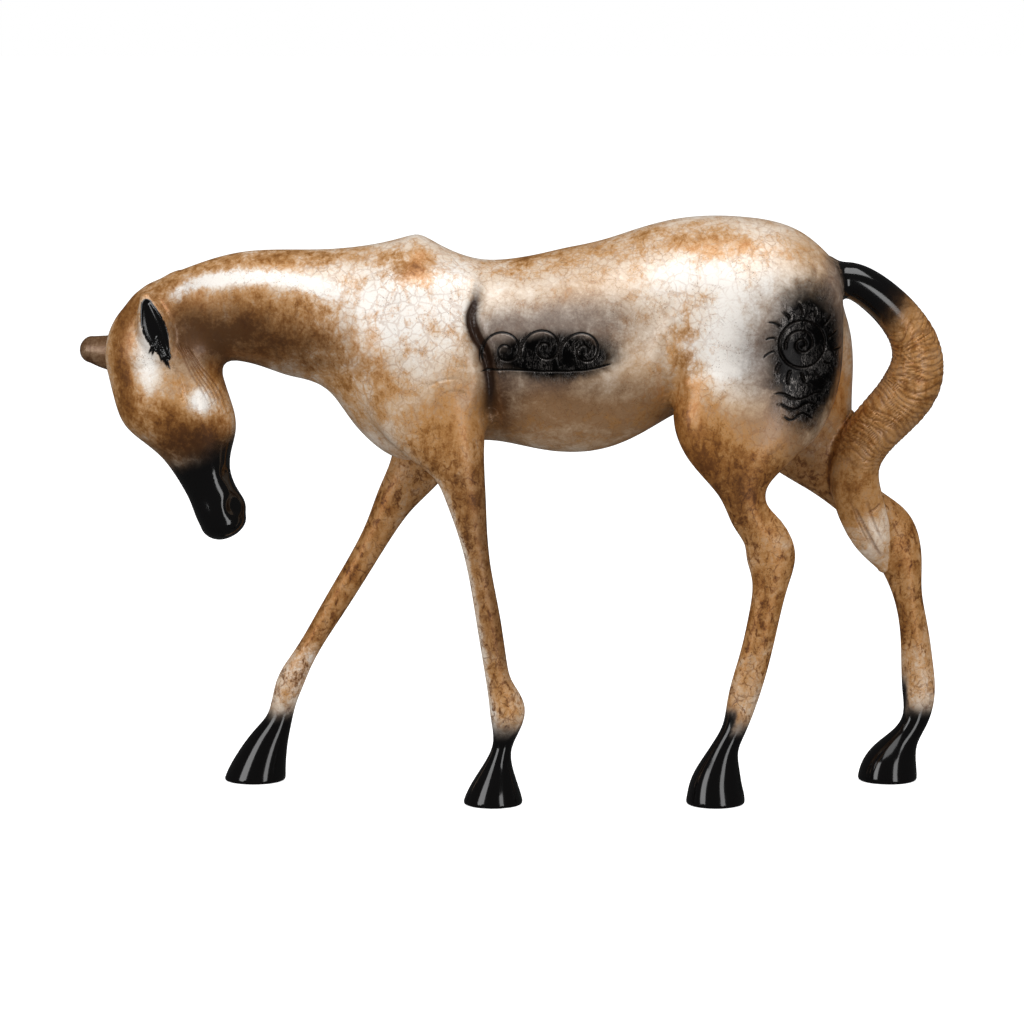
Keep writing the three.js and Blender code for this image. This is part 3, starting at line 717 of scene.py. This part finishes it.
# %% Cutting the long edges
BEND_ALLOWED = 0.12  # how far an edge's middle may lie off the skin
SHORTEST = 0.56       # edges shorter than this are never split
ROUNDS = 4
MOST_TRIANGLES = 196000


def edges_of(triangles):
    """Every edge once, and the numbers of each triangle's three edges, in the order 0-1, 1-2, 2-0."""
    pairs = np.sort(np.stack([triangles, np.roll(triangles, -1, axis=1)], axis=-1).reshape(-1, 2), axis=1)
    key = pairs[:, 0].astype(np.int64) * (int(triangles.max()) + 1) + pairs[:, 1]
    _, first, number = np.unique(key, return_index=True, return_inverse=True)
    return pairs[first], number.reshape(-1, 3)


def split_edges(points, triangles, edges, number, marked):
    """New corners halfway along the marked edges, and the triangles cut along them."""
    while (marked[number].sum(1) == 2).any():
        marked[number[marked[number].sum(1) == 2]] = True
    middle = len(points) + np.cumsum(marked) - 1
    count = marked[number].sum(1)
    (a, b, c), (ab, bc, ca) = triangles[count == 3].T, middle[number[count == 3]].T
    four = [np.stack(corners, axis=1) for corners in ((a, ab, ca), (ab, b, bc), (ca, bc, c), (ab, bc, ca))]
    single, single_number = triangles[count == 1], number[count == 1]
    turn = marked[single_number].argmax(1)
    order = (np.arange(3)[None] + turn[:, None]) % 3
    a, b, c = np.take_along_axis(single, order, axis=1).T
    cut = middle[single_number[np.arange(len(single)), turn]]
    two = [np.stack((a, cut, c), axis=1), np.stack((cut, b, c), axis=1)]
    new = points[edges[marked]].mean(1)
    return np.vstack([points, new]), np.vstack([triangles[count == 0]] + four + two)


points = settled(points, passes=5, reach=3.0)
for step in range(ROUNDS):
    edges, number = edges_of(triangles)
    ends = points[edges]
    length = np.linalg.norm(ends[:, 0] - ends[:, 1], axis=1)
    middle = ends.mean(1)
    need = np.maximum(length / wished_length(middle), np.abs(skin_distance(middle)) / BEND_ALLOWED)
    need[length < SHORTEST] = 0
    room = (MOST_TRIANGLES - len(triangles)) // 3
    limit = np.sort(need)[-room] if (need > 1).sum() > room else 1.0
    old = len(points)
    points, triangles = split_edges(points, triangles, edges, number, need > max(limit, 1.0))
    points[old:] = settled(points[old:], passes=2, reach=1.0)
    print("round", step + 1, "corners:", len(points), "triangles:", len(triangles))

# %% [markdown]
# ## Sinking the relief and giving the mesh its normals
# Every corner moves inward along the skin's own slope by the depth of the relief there. The shading normal
# follows from the same functions: the skin's direction plus the slope of the relief across it. That is more
# exact than an average of small triangles, so the gloss runs smoothly over them.

# %% The finished surface
outward = steepest(skin_distance, points)
outward /= np.linalg.norm(outward, axis=1)[:, None]
relief = sink(points)
relief_slope = steepest(sink, points)
relief_slope -= (relief_slope * outward).sum(1)[:, None] * outward
normals = outward + relief_slope
normals /= np.linalg.norm(normals, axis=1)[:, None]
surface = points - outward * relief[:, None]
surface[:, 2] = np.maximum(surface[:, 2], 0)
box = surface.min(0), surface.max(0)
print("relief from", round(float(relief.min()), 2), "to", round(float(relief.max()), 2), "mm; box", box)

# %% [markdown]
# ## Where the patina changes
# A patina is brushed and sprayed on hot metal in zones, so its broad changes are places on the body and not
# noise. Each zone is worked out here once for every corner and stored in the mesh, and the material blurs
# and breaks it up. The black of the hooves, muzzle, ear and tail root follows the limbs; on the rump around
# the tail root it also lays a painted shadow. Haze lies around the engraved patches, and soft blobs say where
# the patina is browner or paler, where shade is painted in, and where a painted highlight keeps it cream.

# %% Where each corner lies
x, y, z = points.T
near_side = side_share(points, 4, 12) * (y < 0)


def blobs(rows):
    """The sum of amount * exp(-((x - cx) / rx) ** 2 - ((z - cz) / rz) ** 2) over rows of these numbers."""
    total = np.zeros(len(points))
    for cx, cz, rx, rz, amount in rows:
        total += amount * np.exp(-((x - cx) / rx) ** 2 - ((z - cz) / rz) ** 2)
    return total


def along_limb(limb, share, softness=0.12):
    """The place t along a limb for the corners that lie on it, and 0 or 1 for whether they do."""
    rows = limb.inside(points)
    t, rise, out, past, rise_half, side_half, cap = limb.locate(points[rows])
    reach = np.sqrt((rise / rise_half) ** 2 + (out / side_half) ** 2 + (past / cap) ** 2)
    place, on = np.zeros(len(points)), np.zeros(len(points))
    place[rows] = t
    on[rows] = smooth((share - reach) / softness)
    return place, on


tail_place, tail_on = along_limb(tail, 1.22)
_, head_on = along_limb(head, 1.3)
_, ear_on = along_limb(far_ear, 1.2)
# A wide zone around the tail's root, for the painted shadow on the rump.
_, painted_tail_shadow = along_limb(tail, 2.4, softness=1.2)
legs_on = [along_limb(limb, 1.25)[1] for limb in (near_fore, far_fore, near_hind, far_hind)]
near_fore_on, _, near_hind_on, far_hind_on = legs_on
on_leg = np.maximum.reduce([on * smooth((272 - z) / 60) for on in legs_on])
print("corners on the legs:", int((on_leg > 0.5).sum()), "and on the tail:", int((tail_on > 0.5).sum()))

# %% Polished black
HOOF_BLACK = [(42, 27), (39, 28), (43, 28), (43, 24)]  # all black below this height, and none this much above
below_muzzle_border = (239 - z) + (x + 226) * 13 / 30
hooves = [on * smooth((top + fade - z) / fade) for on, (top, fade) in zip(legs_on, HOOF_BLACK)]
black = np.maximum.reduce(hooves + [
    smooth((76 - z) / 18) * smooth((154 - x + 0.25 * (z - 45)) / 6) * near_hind_on,  # streak up the cannon
    smooth((92 - z) / 30) * smooth((285 - x) / 5) * far_hind_on,                     # and up the far one
    smooth((below_muzzle_border + 17) / 32) * head_on,
    smooth((tail_place - 0.2) / 0.5) * smooth((3.8 - tail_place) / 2.0) * tail_on,   # root of the tail
    # Painted shadow of the tail: the black fades out onto the rump around the tail root.
    smooth(tail_place * 2) * smooth((2.4 - tail_place) * 2) * painted_tail_shadow * 0.6,      # and on the rump there
    smooth((1.5 - ear_hollow.distance(points)) / 0.6) * (y < 0),
    0.95 * smooth(deepest(tufts, points) / TUFT_RISE * 1.8) * near_side,
])
print("zones: black on", round(float((black > 0.5).mean() * 100)), "% of the corners")

# %% Smoke, engraving and grooves
HAZE = [  # centre x, z, radii and amount, as in all such rows below
    (14, 318, 44, 24, 0.9), (52, 338, 50, 24, 0.8), (198, 316, 38, 56, 0.85), (172, 312, 26, 44, 0.55),
    (-10, 330, 16, 18, 0.5), (20, 294, 36, 10, 0.3), (222, 352, 9, 34, 0.8),
]
DARK_PATCH = [(28, 314, 45, 16, 1.4), (201, 314, 27, 50, 1.4)]
haze = np.clip(blobs(HAZE), 0, 1) * near_side
patch = np.clip(blobs(DARK_PATCH), 0, 1.3) * near_side
lines = deepest(engraved, points) / LINE_DEPTH * near_side
SHOULDER_CREASE = BOTH_FLANKS[0]
creases = SHOULDER_CREASE.sink(points) / SHOULDER_CREASE.depth * side_share(points, 6, 10)
groove = np.clip(np.clip(SHOULDER_CUT.sink(points) / 1.6, 0, 1) * near_side + 0.45 * creases ** 2, 0, 1)
stained = smooth(fine_valleys(points) / 0.45)
print("zones: smoke on", round(float((haze > 0.5).mean() * 100)), "% of the corners")

# %% Tan, ochre, painted shade and painted highlights
# Painted highlight: a pale stripe along the neck where the gloss runs, taken out of tan and ochre.
PAINTED_NECK_HIGHLIGHT = Stroke([  # the pale stripe along the neck
    (-242, 347), (-222, 359), (-200, 364.5), (-169, 366), (-134, 360), (-104, 346)], 1.0, 5.5, (0.1, 0.3))
# From cream, negative, to taupe and tan; most negative rows, on neck, shoulder, hip, thigh, face and cheek,
# are painted highlights.
TAN_AND_PAINTED_HIGHLIGHTS = [  # from cream, negative, to taupe and tan
    (-104, 346, 46, 22, -0.4), (-74, 344, 24, 28, -0.4), (-40, 348, 12, 28, -0.4), (94, 360, 22, 18, -0.35),
    (128, 368, 24, 16, -0.3), (147, 314, 20, 30, -0.9), (-62, 304, 22, 22, -0.35), (121, 312, 6, 20, -0.4),
    (168, 362, 32, 18, -0.25), (-250, 310, 11, 34, -0.7), (-216, 280, 8, 9, -1.0), (60, 358, 44, 16, 0.3),
    (46, 276, 84, 30, 0.7), (33, 386, 60, 8, 0.2), (156, 262, 40, 40, 0.55), (205, 376, 26, 20, 0.3),
    (-190, 330, 60, 26, 0.6), (-76, 280, 40, 34, 0.2), (-45, 290, 26, 36, 0.2), (-240, 280, 40, 40, 0.35),
    (-62, 366, 22, 10, -0.3), (-146, 88, 16, 28, -0.5), (190, 262, 30, 30, 0.35), (227, 290, 14, 50, 0.4),
]
# Ochre; its negative rows on the face, cheek and thigh take ochre out of painted highlights.
OCHRE_AND_PAINTED_HIGHLIGHTS = [
    (-178, 379, 80, 9, 0.6), (-165, 334, 52, 28, 0.8), (-110, 302, 32, 22, 0.5), (-67, 373, 18, 12, 0.65),
    (-55, 330, 24, 24, 0.25), (-40, 262, 26, 34, 0.55), (-88, 274, 26, 28, 0.15), (-62, 304, 22, 22, -0.2),
    (147, 314, 18, 26, -0.3), (40, 288, 60, 20, -0.25), (6, 376, 30, 8, 0.5), (48, 382, 36, 8, 0.4),
    (104, 392, 44, 9, 0.4), (166, 388, 40, 10, 0.35), (118, 336, 9, 34, 0.3), (121, 282, 13, 36, 0.5),
    (132, 254, 20, 26, 0.55), (156, 240, 30, 24, 0.5), (100, 276, 20, 20, 0.4), (-269, 318, 9, 44, 0.9),
    (-236, 354, 30, 18, 0.6), (-228, 248, 24, 9, 0.6), (-247, 272, 28, 18, 0.8), (-249, 310, 10, 30, -0.4),
    (-216, 280, 8, 9, -0.6), (-203, 282, 10, 30, 0.5), (-216, 258, 22, 12, 0.7), (227, 282, 10, 44, 0.5),
    (40, 262, 70, 16, 0.15),
]
# Painted shade, laid on as brown: under the neck and jaw, behind the shoulder, under the ribs and on the far
# thigh; on the neck and face it is in part also the browner patina.
SHADED = [
    (-196, 332, 42, 20, 0.95), (-145, 322, 44, 16, 0.7), (-207, 314, 18, 18, 0.6), (-146, 306, 60, 8, 0.4),
    (-236, 256, 28, 16, 0.5), (-213, 254, 18, 10, 0.7), (-222, 243, 30, 9, 0.9), (-244, 352, 20, 14, 0.2),
    (-227, 330, 12, 24, 0.5), (-8, 284, 15, 34, 0.8), (50, 293, 44, 11, 0.4), (104, 272, 12, 14, 0.3),
    (-268, 310, 9, 50, 0.45), (40, 280, 74, 22, 0.35), (215, 240, 26, 30, 0.5), (154, 218, 14, 26, 0.35),
]
painted_neck_highlight = PAINTED_NECK_HIGHLIGHT.sink(points) * side_share(points, 3, 8)
wrist = smooth((z - 62) / 60)  # browner above the fetlock
# Painted highlight: the near foreleg's front side is kept pale and grey, with less ochre and shade.
painted_front_highlight = smooth((-outward[:, 0] - 0.35) / 0.5) * near_fore_on
# Painted shade: the near foreleg's rear side is darker brown.
painted_rear_shade = smooth((outward[:, 0] + 0.1) / 0.8) * near_fore_on
leaf = smooth(tail_place - 9.5)
on_ringed = tail_on * smooth((tail_place - 1.5) * 2)
tan = 0.34 + (0.1 + 0.25 * wrist - 0.3 * painted_front_highlight) * on_leg + (0.5 - 0.35 * leaf) * on_ringed + 0.5 * ear_on
tan += blobs(TAN_AND_PAINTED_HIGHLIGHTS) - 0.7 * painted_neck_highlight
ochre = 0.16 + (0.25 + 0.36 * wrist) * on_leg * (1 - painted_front_highlight) + (0.5 - 0.4 * leaf) * on_ringed
ochre += blobs(OCHRE_AND_PAINTED_HIGHLIGHTS) - 0.6 * painted_neck_highlight
# Painted shade on undersides, darker the more they face down; the far ear is darker as well.
shaded = blobs(SHADED) + 0.25 * smooth((-outward[:, 2] - 0.15) / 0.8) + 0.9 * ear_on
# On the legs: darker above the fetlock and most on the near foreleg, with painted shade on its rear side.
shaded += on_leg * wrist * (0.12 + 0.32 * near_fore_on + 0.35 * painted_rear_shade) * (1 - painted_front_highlight)
print("zones: tan", tan.mean().round(2), "ochre", ochre.mean().round(2), "shaded", shaded.mean().round(2))

# %% The mesh itself
horse_mesh = mesh_from("horse_skin", surface * MM, triangles.tolist())
horse_mesh.polygons.foreach_set("use_smooth", np.ones(len(horse_mesh.polygons), bool))
horse_mesh.normals_split_custom_set_from_vertices(normals.tolist())
ZONES = {"black": black, "haze": haze, "patch": patch, "lines": lines, "groove": groove, "tan": tan,
         "ochre": ochre, "shaded": shaded, "leg": on_leg, "stained": stained}
for name, values in ZONES.items():
    attribute = horse_mesh.attributes.new(name, "FLOAT", "POINT")
    attribute.data.foreach_set("value", np.clip(values, -1, 2).astype(np.float32))
horse = bpy.data.objects.new("cast_horse", horse_mesh)
bpy.context.scene.collection.objects.link(horse)
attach(horse, "root")
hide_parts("horse")
print("mesh:", len(horse_mesh.vertices), "corners,", len(horse_mesh.polygons), "triangles")

# %% [markdown]
# ## Shader maths as Python
# A material is a graph of nodes, and its sums are hard to read as boxes and wires. A small class wraps a
# socket, so `0.5 * grain + brown` adds the Math nodes by itself.

# %% Sockets that can be added and multiplied


class Wire:
    """An output socket whose + - and * add Math nodes."""

    def __init__(self, tree, socket):
        self.tree = tree
        self.socket = socket

    def math(self, operation, a, b):
        return node(self.tree, "ShaderNodeMath", {"operation": operation}, {0: a, 1: b})

    def __add__(self, other):
        return self.math("ADD", self, other)

    __radd__ = __add__

    def __sub__(self, other):
        return self.math("SUBTRACT", self, other)

    def __rsub__(self, other):
        return self.math("SUBTRACT", other, self)

    def __mul__(self, other):
        return self.math("MULTIPLY", self, other)

    __rmul__ = __mul__

    def clamp(self):
        return node(self.tree, "ShaderNodeClamp", {}, {"Value": self})

    def step(self, low, high):
        """0 below low, 1 above high, smooth in between; low may lie above high."""
        return node(self.tree, "ShaderNodeMapRange", {"interpolation_type": "SMOOTHSTEP"},
                    {"Value": self, "From Min": low, "From Max": high})

    def either(self, other):
        return self.math("MAXIMUM", self, other)


def node(tree, kind, settings, inputs, output=0):
    """One node: its settings first, then its sockets from wires or plain values; gives an output's wire."""
    new = tree.nodes.new(kind)
    for name, value in settings.items():
        if name == "stops":
            ramp = new.color_ramp
            while len(ramp.elements) < len(value):
                ramp.elements.new(1.0)
            for element, (place, colour) in zip(ramp.elements, value):
                element.position, element.color = place, colour
        else:
            setattr(new, name, value)
    for key, value in inputs.items():
        if isinstance(value, Wire):
            tree.links.new(value.socket, new.inputs[key])
        else:
            new.inputs[key].default_value = value
    return Wire(tree, new.outputs[output]) if len(new.outputs) else None


def tone(red, green, blue):
    """A colour given as a screen shows it, 0 to 255, in the linear values that a shader takes."""
    parts = [part / 255 for part in (red, green, blue)]
    return tuple(p / 12.92 if p <= 0.04045 else ((p + 0.055) / 1.055) ** 2.4 for p in parts) + (1.0,)


def mixed(tree, share, first, second):
    """first where share is 0, second where it is 1."""
    return node(tree, "ShaderNodeMix", {"data_type": "RGBA"}, {0: share, 6: first, 7: second}, 2)


# %% [markdown]
# ## The patina
# On the real casting, chemicals and heat grow the patina in layers: a cream ground, ochre and rust that
# crawl over it in grains and veins, brown stains in the hollows, smoky black around the engraving, and a
# clear lacquer over all. The material has the same layers, and also painted shade, laid on as brown, and
# painted highlights, where the zones keep the cream. Noises of different sizes are added to the stored
# zones. A ramp turns one sum from cream to tan, and steps of other sums lay ochre, rust and brown over it.
# The borders of uneven cells give the fine crackle and the dark veins, and a noise drawn out along the legs
# gives their mottling.

# %% The one material
patina = bpy.data.materials.new("patinated_bronze")
patina.use_nodes = True
tree = patina.node_tree
tree.nodes.clear()
place = node(tree, "ShaderNodeTexCoord", {}, {}, "Object")


def zone(name):
    """A zone stored in the mesh."""
    return node(tree, "ShaderNodeAttribute", {"attribute_name": name}, {}, "Fac")


def noise(size, detail=4.0, roughness=0.6, distortion=0.0, where=None):
    """Noise from 0 to 1 around 0.5, with features of a size in millimetres."""
    return node(tree, "ShaderNodeTexNoise", {}, {
        "Vector": where or place, "Scale": 1 / (size * MM), "Detail": detail, "Roughness": roughness,
        "Distortion": distortion}, "Fac")


def borders(size, where):
    """Distance to the nearest border between cells of a size in millimetres, in cell sizes."""
    return node(tree, "ShaderNodeTexVoronoi", {"feature": "DISTANCE_TO_EDGE"}, {
        "Vector": where, "Scale": 1 / (size * MM)}, "Distance")


def shifted(size, amount):
    """The place moved about by a coloured noise, so that cells and veins get uneven shapes."""
    wobble = node(tree, "ShaderNodeTexNoise", {}, {
        "Vector": place, "Scale": 1 / (size * MM), "Detail": 3.0}, "Color")
    centred = node(tree, "ShaderNodeVectorMath", {"operation": "SUBTRACT"}, {0: wobble, 1: (0.5, 0.5, 0.5)})
    scaled = node(tree, "ShaderNodeVectorMath", {"operation": "SCALE"}, {0: centred, "Scale": amount * MM})
    return node(tree, "ShaderNodeVectorMath", {"operation": "ADD"}, {0: place, 1: scaled})


black, haze, patch, lines = zone("black"), zone("haze"), zone("patch"), zone("lines")
groove, tan, ochre, shaded, leg = zone("groove"), zone("tan"), zone("ochre"), zone("shaded"), zone("leg")
stained = zone("stained")
cloud = noise(40, 3, 0.5, 0.3)
puff = noise(15, 5, 0.6, 0.5)
stretched = node(tree, "ShaderNodeVectorMath", {"operation": "MULTIPLY"}, {0: place, 1: (1, 1, 0.5)})
worm = noise(5.5, 4, 0.65, 0.7, stretched)
grain = noise(2.2, 4, 0.7)
dust = noise(0.9, 2, 0.6)

print("zones and noises:", len(tree.nodes), "nodes")

# %% Cream ground, crackle and ochre crust
ground = tan + 0.45 * ochre + 0.9 * (cloud - 0.5) + 0.9 * (puff - 0.5) + 0.5 * (grain - 0.5)
colour = node(tree, "ShaderNodeValToRGB", {"stops": [
    (0.0, tone(250, 244, 236)), (0.35, tone(232, 214, 194)), (0.7, tone(206, 174, 140)),
    (1.0, tone(178, 138, 98))]}, {"Fac": ground}, "Color")
crackle = borders(7, shifted(6, 5)).step(0.1, 0.02)
crust = ochre + 0.9 * (cloud - 0.5) + 1.2 * (puff - 0.5) + 1.4 * (worm - 0.5) + 0.9 * (grain - 0.5)
webbed = (0.2 + ochre + 1.6 * (puff - 0.5)).clamp() * crackle
colour = mixed(tree, 0.55 * webbed, colour, tone(160, 104, 54))
colour = mixed(tree, 0.7 * crust.step(0.2, 0.75), colour, tone(206, 148, 82))
colour = mixed(tree, 0.75 * crust.step(0.6, 1.05), colour, tone(170, 106, 40))
colour = mixed(tree, 0.75 * crust.step(0.95, 1.35), colour, tone(112, 64, 26))

# %% Painted shade, veins and specks over it
mottle = leg * worm.step(0.53, 0.62) * (0.4 + 0.6 * grain.step(0.45, 0.55))
colour = mixed(tree, 0.8 * mottle, colour, tone(104, 58, 22))
# Brown painted shade where the shaded zone lies.
shade = (shaded * (0.85 + 1.0 * (puff - 0.5) + 0.7 * (grain - 0.5))).clamp()
colour = mixed(tree, 0.9 * shade, colour, tone(82, 50, 26))
thread = borders(13, shifted(7, 9)).step(0.06, 0.01)
veins = (leg + 0.5 * ochre).clamp() * (thread * noise(16, 3).step(0.5, 0.64)).either(
    0.7 * crackle * noise(9, 3).step(0.5, 0.62))
colour = mixed(tree, 0.7 * veins, colour, tone(96, 54, 22))
colour = mixed(tree, 0.55 * stained, colour, tone(104, 60, 28))
specks = dust.step(0.6, 0.7) * (0.3 + 0.4 * leg + puff.step(0.44, 0.6))
colour = mixed(tree, (0.6 * specks).clamp(), colour, tone(96, 64, 38))

# %% Smoke, engraving and the polished black
smoke = (haze * (0.75 + 0.6 * (puff - 0.5) + 0.5 * (grain - 0.5))).step(0.05, 0.85)
colour = mixed(tree, 0.85 * smoke, colour, tone(96, 82, 76))
combed = node(tree, "ShaderNodeVectorMath", {"operation": "MULTIPLY"}, {0: place, 1: (1.6, 1, 0.4)})
scratch = noise(4, 4, 0.7, 1.5, combed)
smoky = (patch + 0.6 * (puff - 0.5)).step(0.25, 0.85)
scratched = scratch.step(0.46, 0.5) * scratch.step(0.54, 0.5) * puff.step(0.42, 0.6)
dark = mixed(tree, 0.75 * scratched, tone(12, 10, 10), tone(150, 144, 140))
colour = mixed(tree, smoky, colour, dark)
colour = mixed(tree, (groove * 1.1).clamp(), colour, tone(48, 30, 19))
colour = mixed(tree, lines.step(0.25, 0.6), colour, tone(20, 15, 12))
wavering = black + 0.9 * (puff - 0.5) * black * (1 - black) * 4
polish = wavering.step(0.4, 0.98)
fading = mixed(tree, leg, tone(50, 33, 22), tone(98, 90, 84))
colour = mixed(tree, 0.92 * wavering.step(0.02, 0.85), colour, fading)
colour = mixed(tree, polish, colour, tone(9, 8, 8))

# %% Roughness, metal, lacquer and bump
rough = 0.34 + 0.14 * (grain - 0.5) - 0.06 * smoky + 0.1 * leg
rough = rough * (1 - polish) + 0.09 * polish
bare = crust.step(0.4, 1.0).either(shade)
metal = (0.08 + 0.34 * bare) * (1 - polish) * (1 - smoky) + 0.8 * smoky
lacquer = 0.22 * (1 - leg) * (1 - 0.8 * smoky) + 0.6 * polish * (1 - smoky)
height = grain + 0.6 * dust - 1.0 * veins
fine_bump = node(tree, "ShaderNodeBump", {}, {
    "Strength": 0.2 * (1 - polish), "Distance": 0.22 * MM, "Height": height}, "Normal")
skin = node(tree, "ShaderNodeBsdfPrincipled", {}, {
    "Base Color": colour, "Roughness": rough, "Metallic": metal, "Normal": fine_bump,
    "Coat Weight": lacquer, "Coat Roughness": 0.12, "Coat IOR": 1.5}, "BSDF")
node(tree, "ShaderNodeOutputMaterial", {}, {"Surface": skin})
horse_mesh.materials.append(patina)
print("patina:", len(tree.nodes), "nodes")

# %% [markdown]
# ## Floor, light and camera
# The floor is plain and nearly white. The largest soft box hangs overhead, to the right of the camera, and
# gives the broad shine on neck and hip. A weaker one above the camera and one low on the left light the face
# and the ribs, and a tall strip low on the right gives the streaks on the hooves. The world is white for the
# camera, softer as light, and nearly dark in reflections, so the black stays black. The camera looks down by
# 8 degrees.

# %% Stage
FLOOR_HALF = 40.0
FLOOR_GLOW = 0.85   # keeps the floor white out to the horizon
floor_mesh = mesh_from("floor", np.array([
    (-FLOOR_HALF, -FLOOR_HALF, 0), (FLOOR_HALF, -FLOOR_HALF, 0), (FLOOR_HALF, FLOOR_HALF, 0),
    (-FLOOR_HALF, FLOOR_HALF, 0)], float), [(0, 1, 2, 3)])
floor_object = bpy.data.objects.new("floor", floor_mesh)
bpy.context.scene.collection.objects.link(floor_object)
floor_object.visible_glossy = False
floor_object.visible_diffuse = False
floor_object.visible_shadow = False
paint = bpy.data.materials.new("pale_floor")
paint.use_nodes = True
floor_shader = paint.node_tree.nodes["Principled BSDF"]
floor_shader.inputs["Base Color"].default_value = (0.8, 0.8, 0.8, 1)
floor_shader.inputs["Emission Color"].default_value = (1, 1, 1, 1)
floor_shader.inputs["Emission Strength"].default_value = FLOOR_GLOW
floor_shader.inputs["Roughness"].default_value = 1.0
floor_shader.inputs["Specular IOR Level"].default_value = 0.0
floor_mesh.materials.append(paint)

print("floor:", 2 * FLOOR_HALF, "m wide")

# %% A white studio around it
world = bpy.data.worlds.new("studio")
bpy.context.scene.world = world
world.use_nodes = True
sky = world.node_tree
sky.nodes.clear()
seen = node(sky, "ShaderNodeLightPath", {}, {}, "Is Camera Ray")
mirrored = node(sky, "ShaderNodeLightPath", {}, {}, "Is Glossy Ray")
strength = 0.52 + 0.48 * seen - 0.48 * mirrored
backdrop = node(sky, "ShaderNodeBackground", {}, {"Color": (1, 1, 1, 1), "Strength": strength})
node(sky, "ShaderNodeOutputWorld", {}, {"Surface": backdrop})
print("studio:", len(sky.nodes), "nodes")

# %% Lamps and camera
LOOK_AT = np.array([0.0, 0.0, 0.1997])
CAMERA_DISTANCE = 2.5
CAMERA_RISE = math.radians(8.0)
PIXEL = 0.0007                # metres at the horse's middle plane that one pixel shows
PICTURE_SIDE = 1024


def aimed(thing, spot, target):
    """Puts a lamp or camera at spot, looking at target with its top up."""
    thing.location = spot
    thing.rotation_euler = (Vector(target) - Vector(spot)).to_track_quat("-Z", "Y").to_euler()
    bpy.context.scene.collection.objects.link(thing)


def soft_box(name, spot, target, width, height, power):
    """A rectangular lamp that the camera itself doesn't see."""
    lamp = bpy.data.lights.new(name, "AREA")
    lamp.shape = "RECTANGLE"
    lamp.size, lamp.size_y, lamp.energy = width, height, power
    holder = bpy.data.objects.new(name, lamp)
    holder.visible_camera = False
    aimed(holder, spot, target)


def around(azimuth, rise, distance):
    """A spot at that distance from the horse's middle; azimuth 0 is the camera's side, and rise is upward."""
    turn, lift = math.radians(azimuth), math.radians(rise)
    step = np.array([math.sin(turn) * math.cos(lift), -math.cos(turn) * math.cos(lift), math.sin(lift)])
    return (LOOK_AT + (0, 0, 0.08) + distance * step).tolist()


AIM = (0.0, 0.0, 0.27)
LAMPS = [  # name, azimuth and rise in degrees, distance, width and height in metres, and watts
    ("overhead", 32, 62, 1.9, 1.8, 1.1, 16), ("front", -10, 46, 2.1, 1.5, 0.9, 7),
    ("left", -48, 12, 2.1, 0.9, 1.2, 10), ("right", 30, -5, 2.2, 0.55, 1.5, 7),
]
for name, azimuth, rise, distance, width, height, power in LAMPS:
    soft_box(name, around(azimuth, rise, distance), AIM, width, height, power)

lens = bpy.data.cameras.new("camera")
lens.sensor_width = 36.0
lens.lens = lens.sensor_width * CAMERA_DISTANCE / (PIXEL * PICTURE_SIDE)
camera = bpy.data.objects.new("camera", lens)
offset = CAMERA_DISTANCE * np.array([0, -math.cos(CAMERA_RISE), math.sin(CAMERA_RISE)])
aimed(camera, (LOOK_AT + offset).tolist(), LOOK_AT.tolist())
bpy.context.scene.camera = camera
bpy.context.scene.view_settings.view_transform = "Standard"
print("camera at", [round(v, 3) for v in camera.location], "lens", round(lens.lens, 1), "mm")
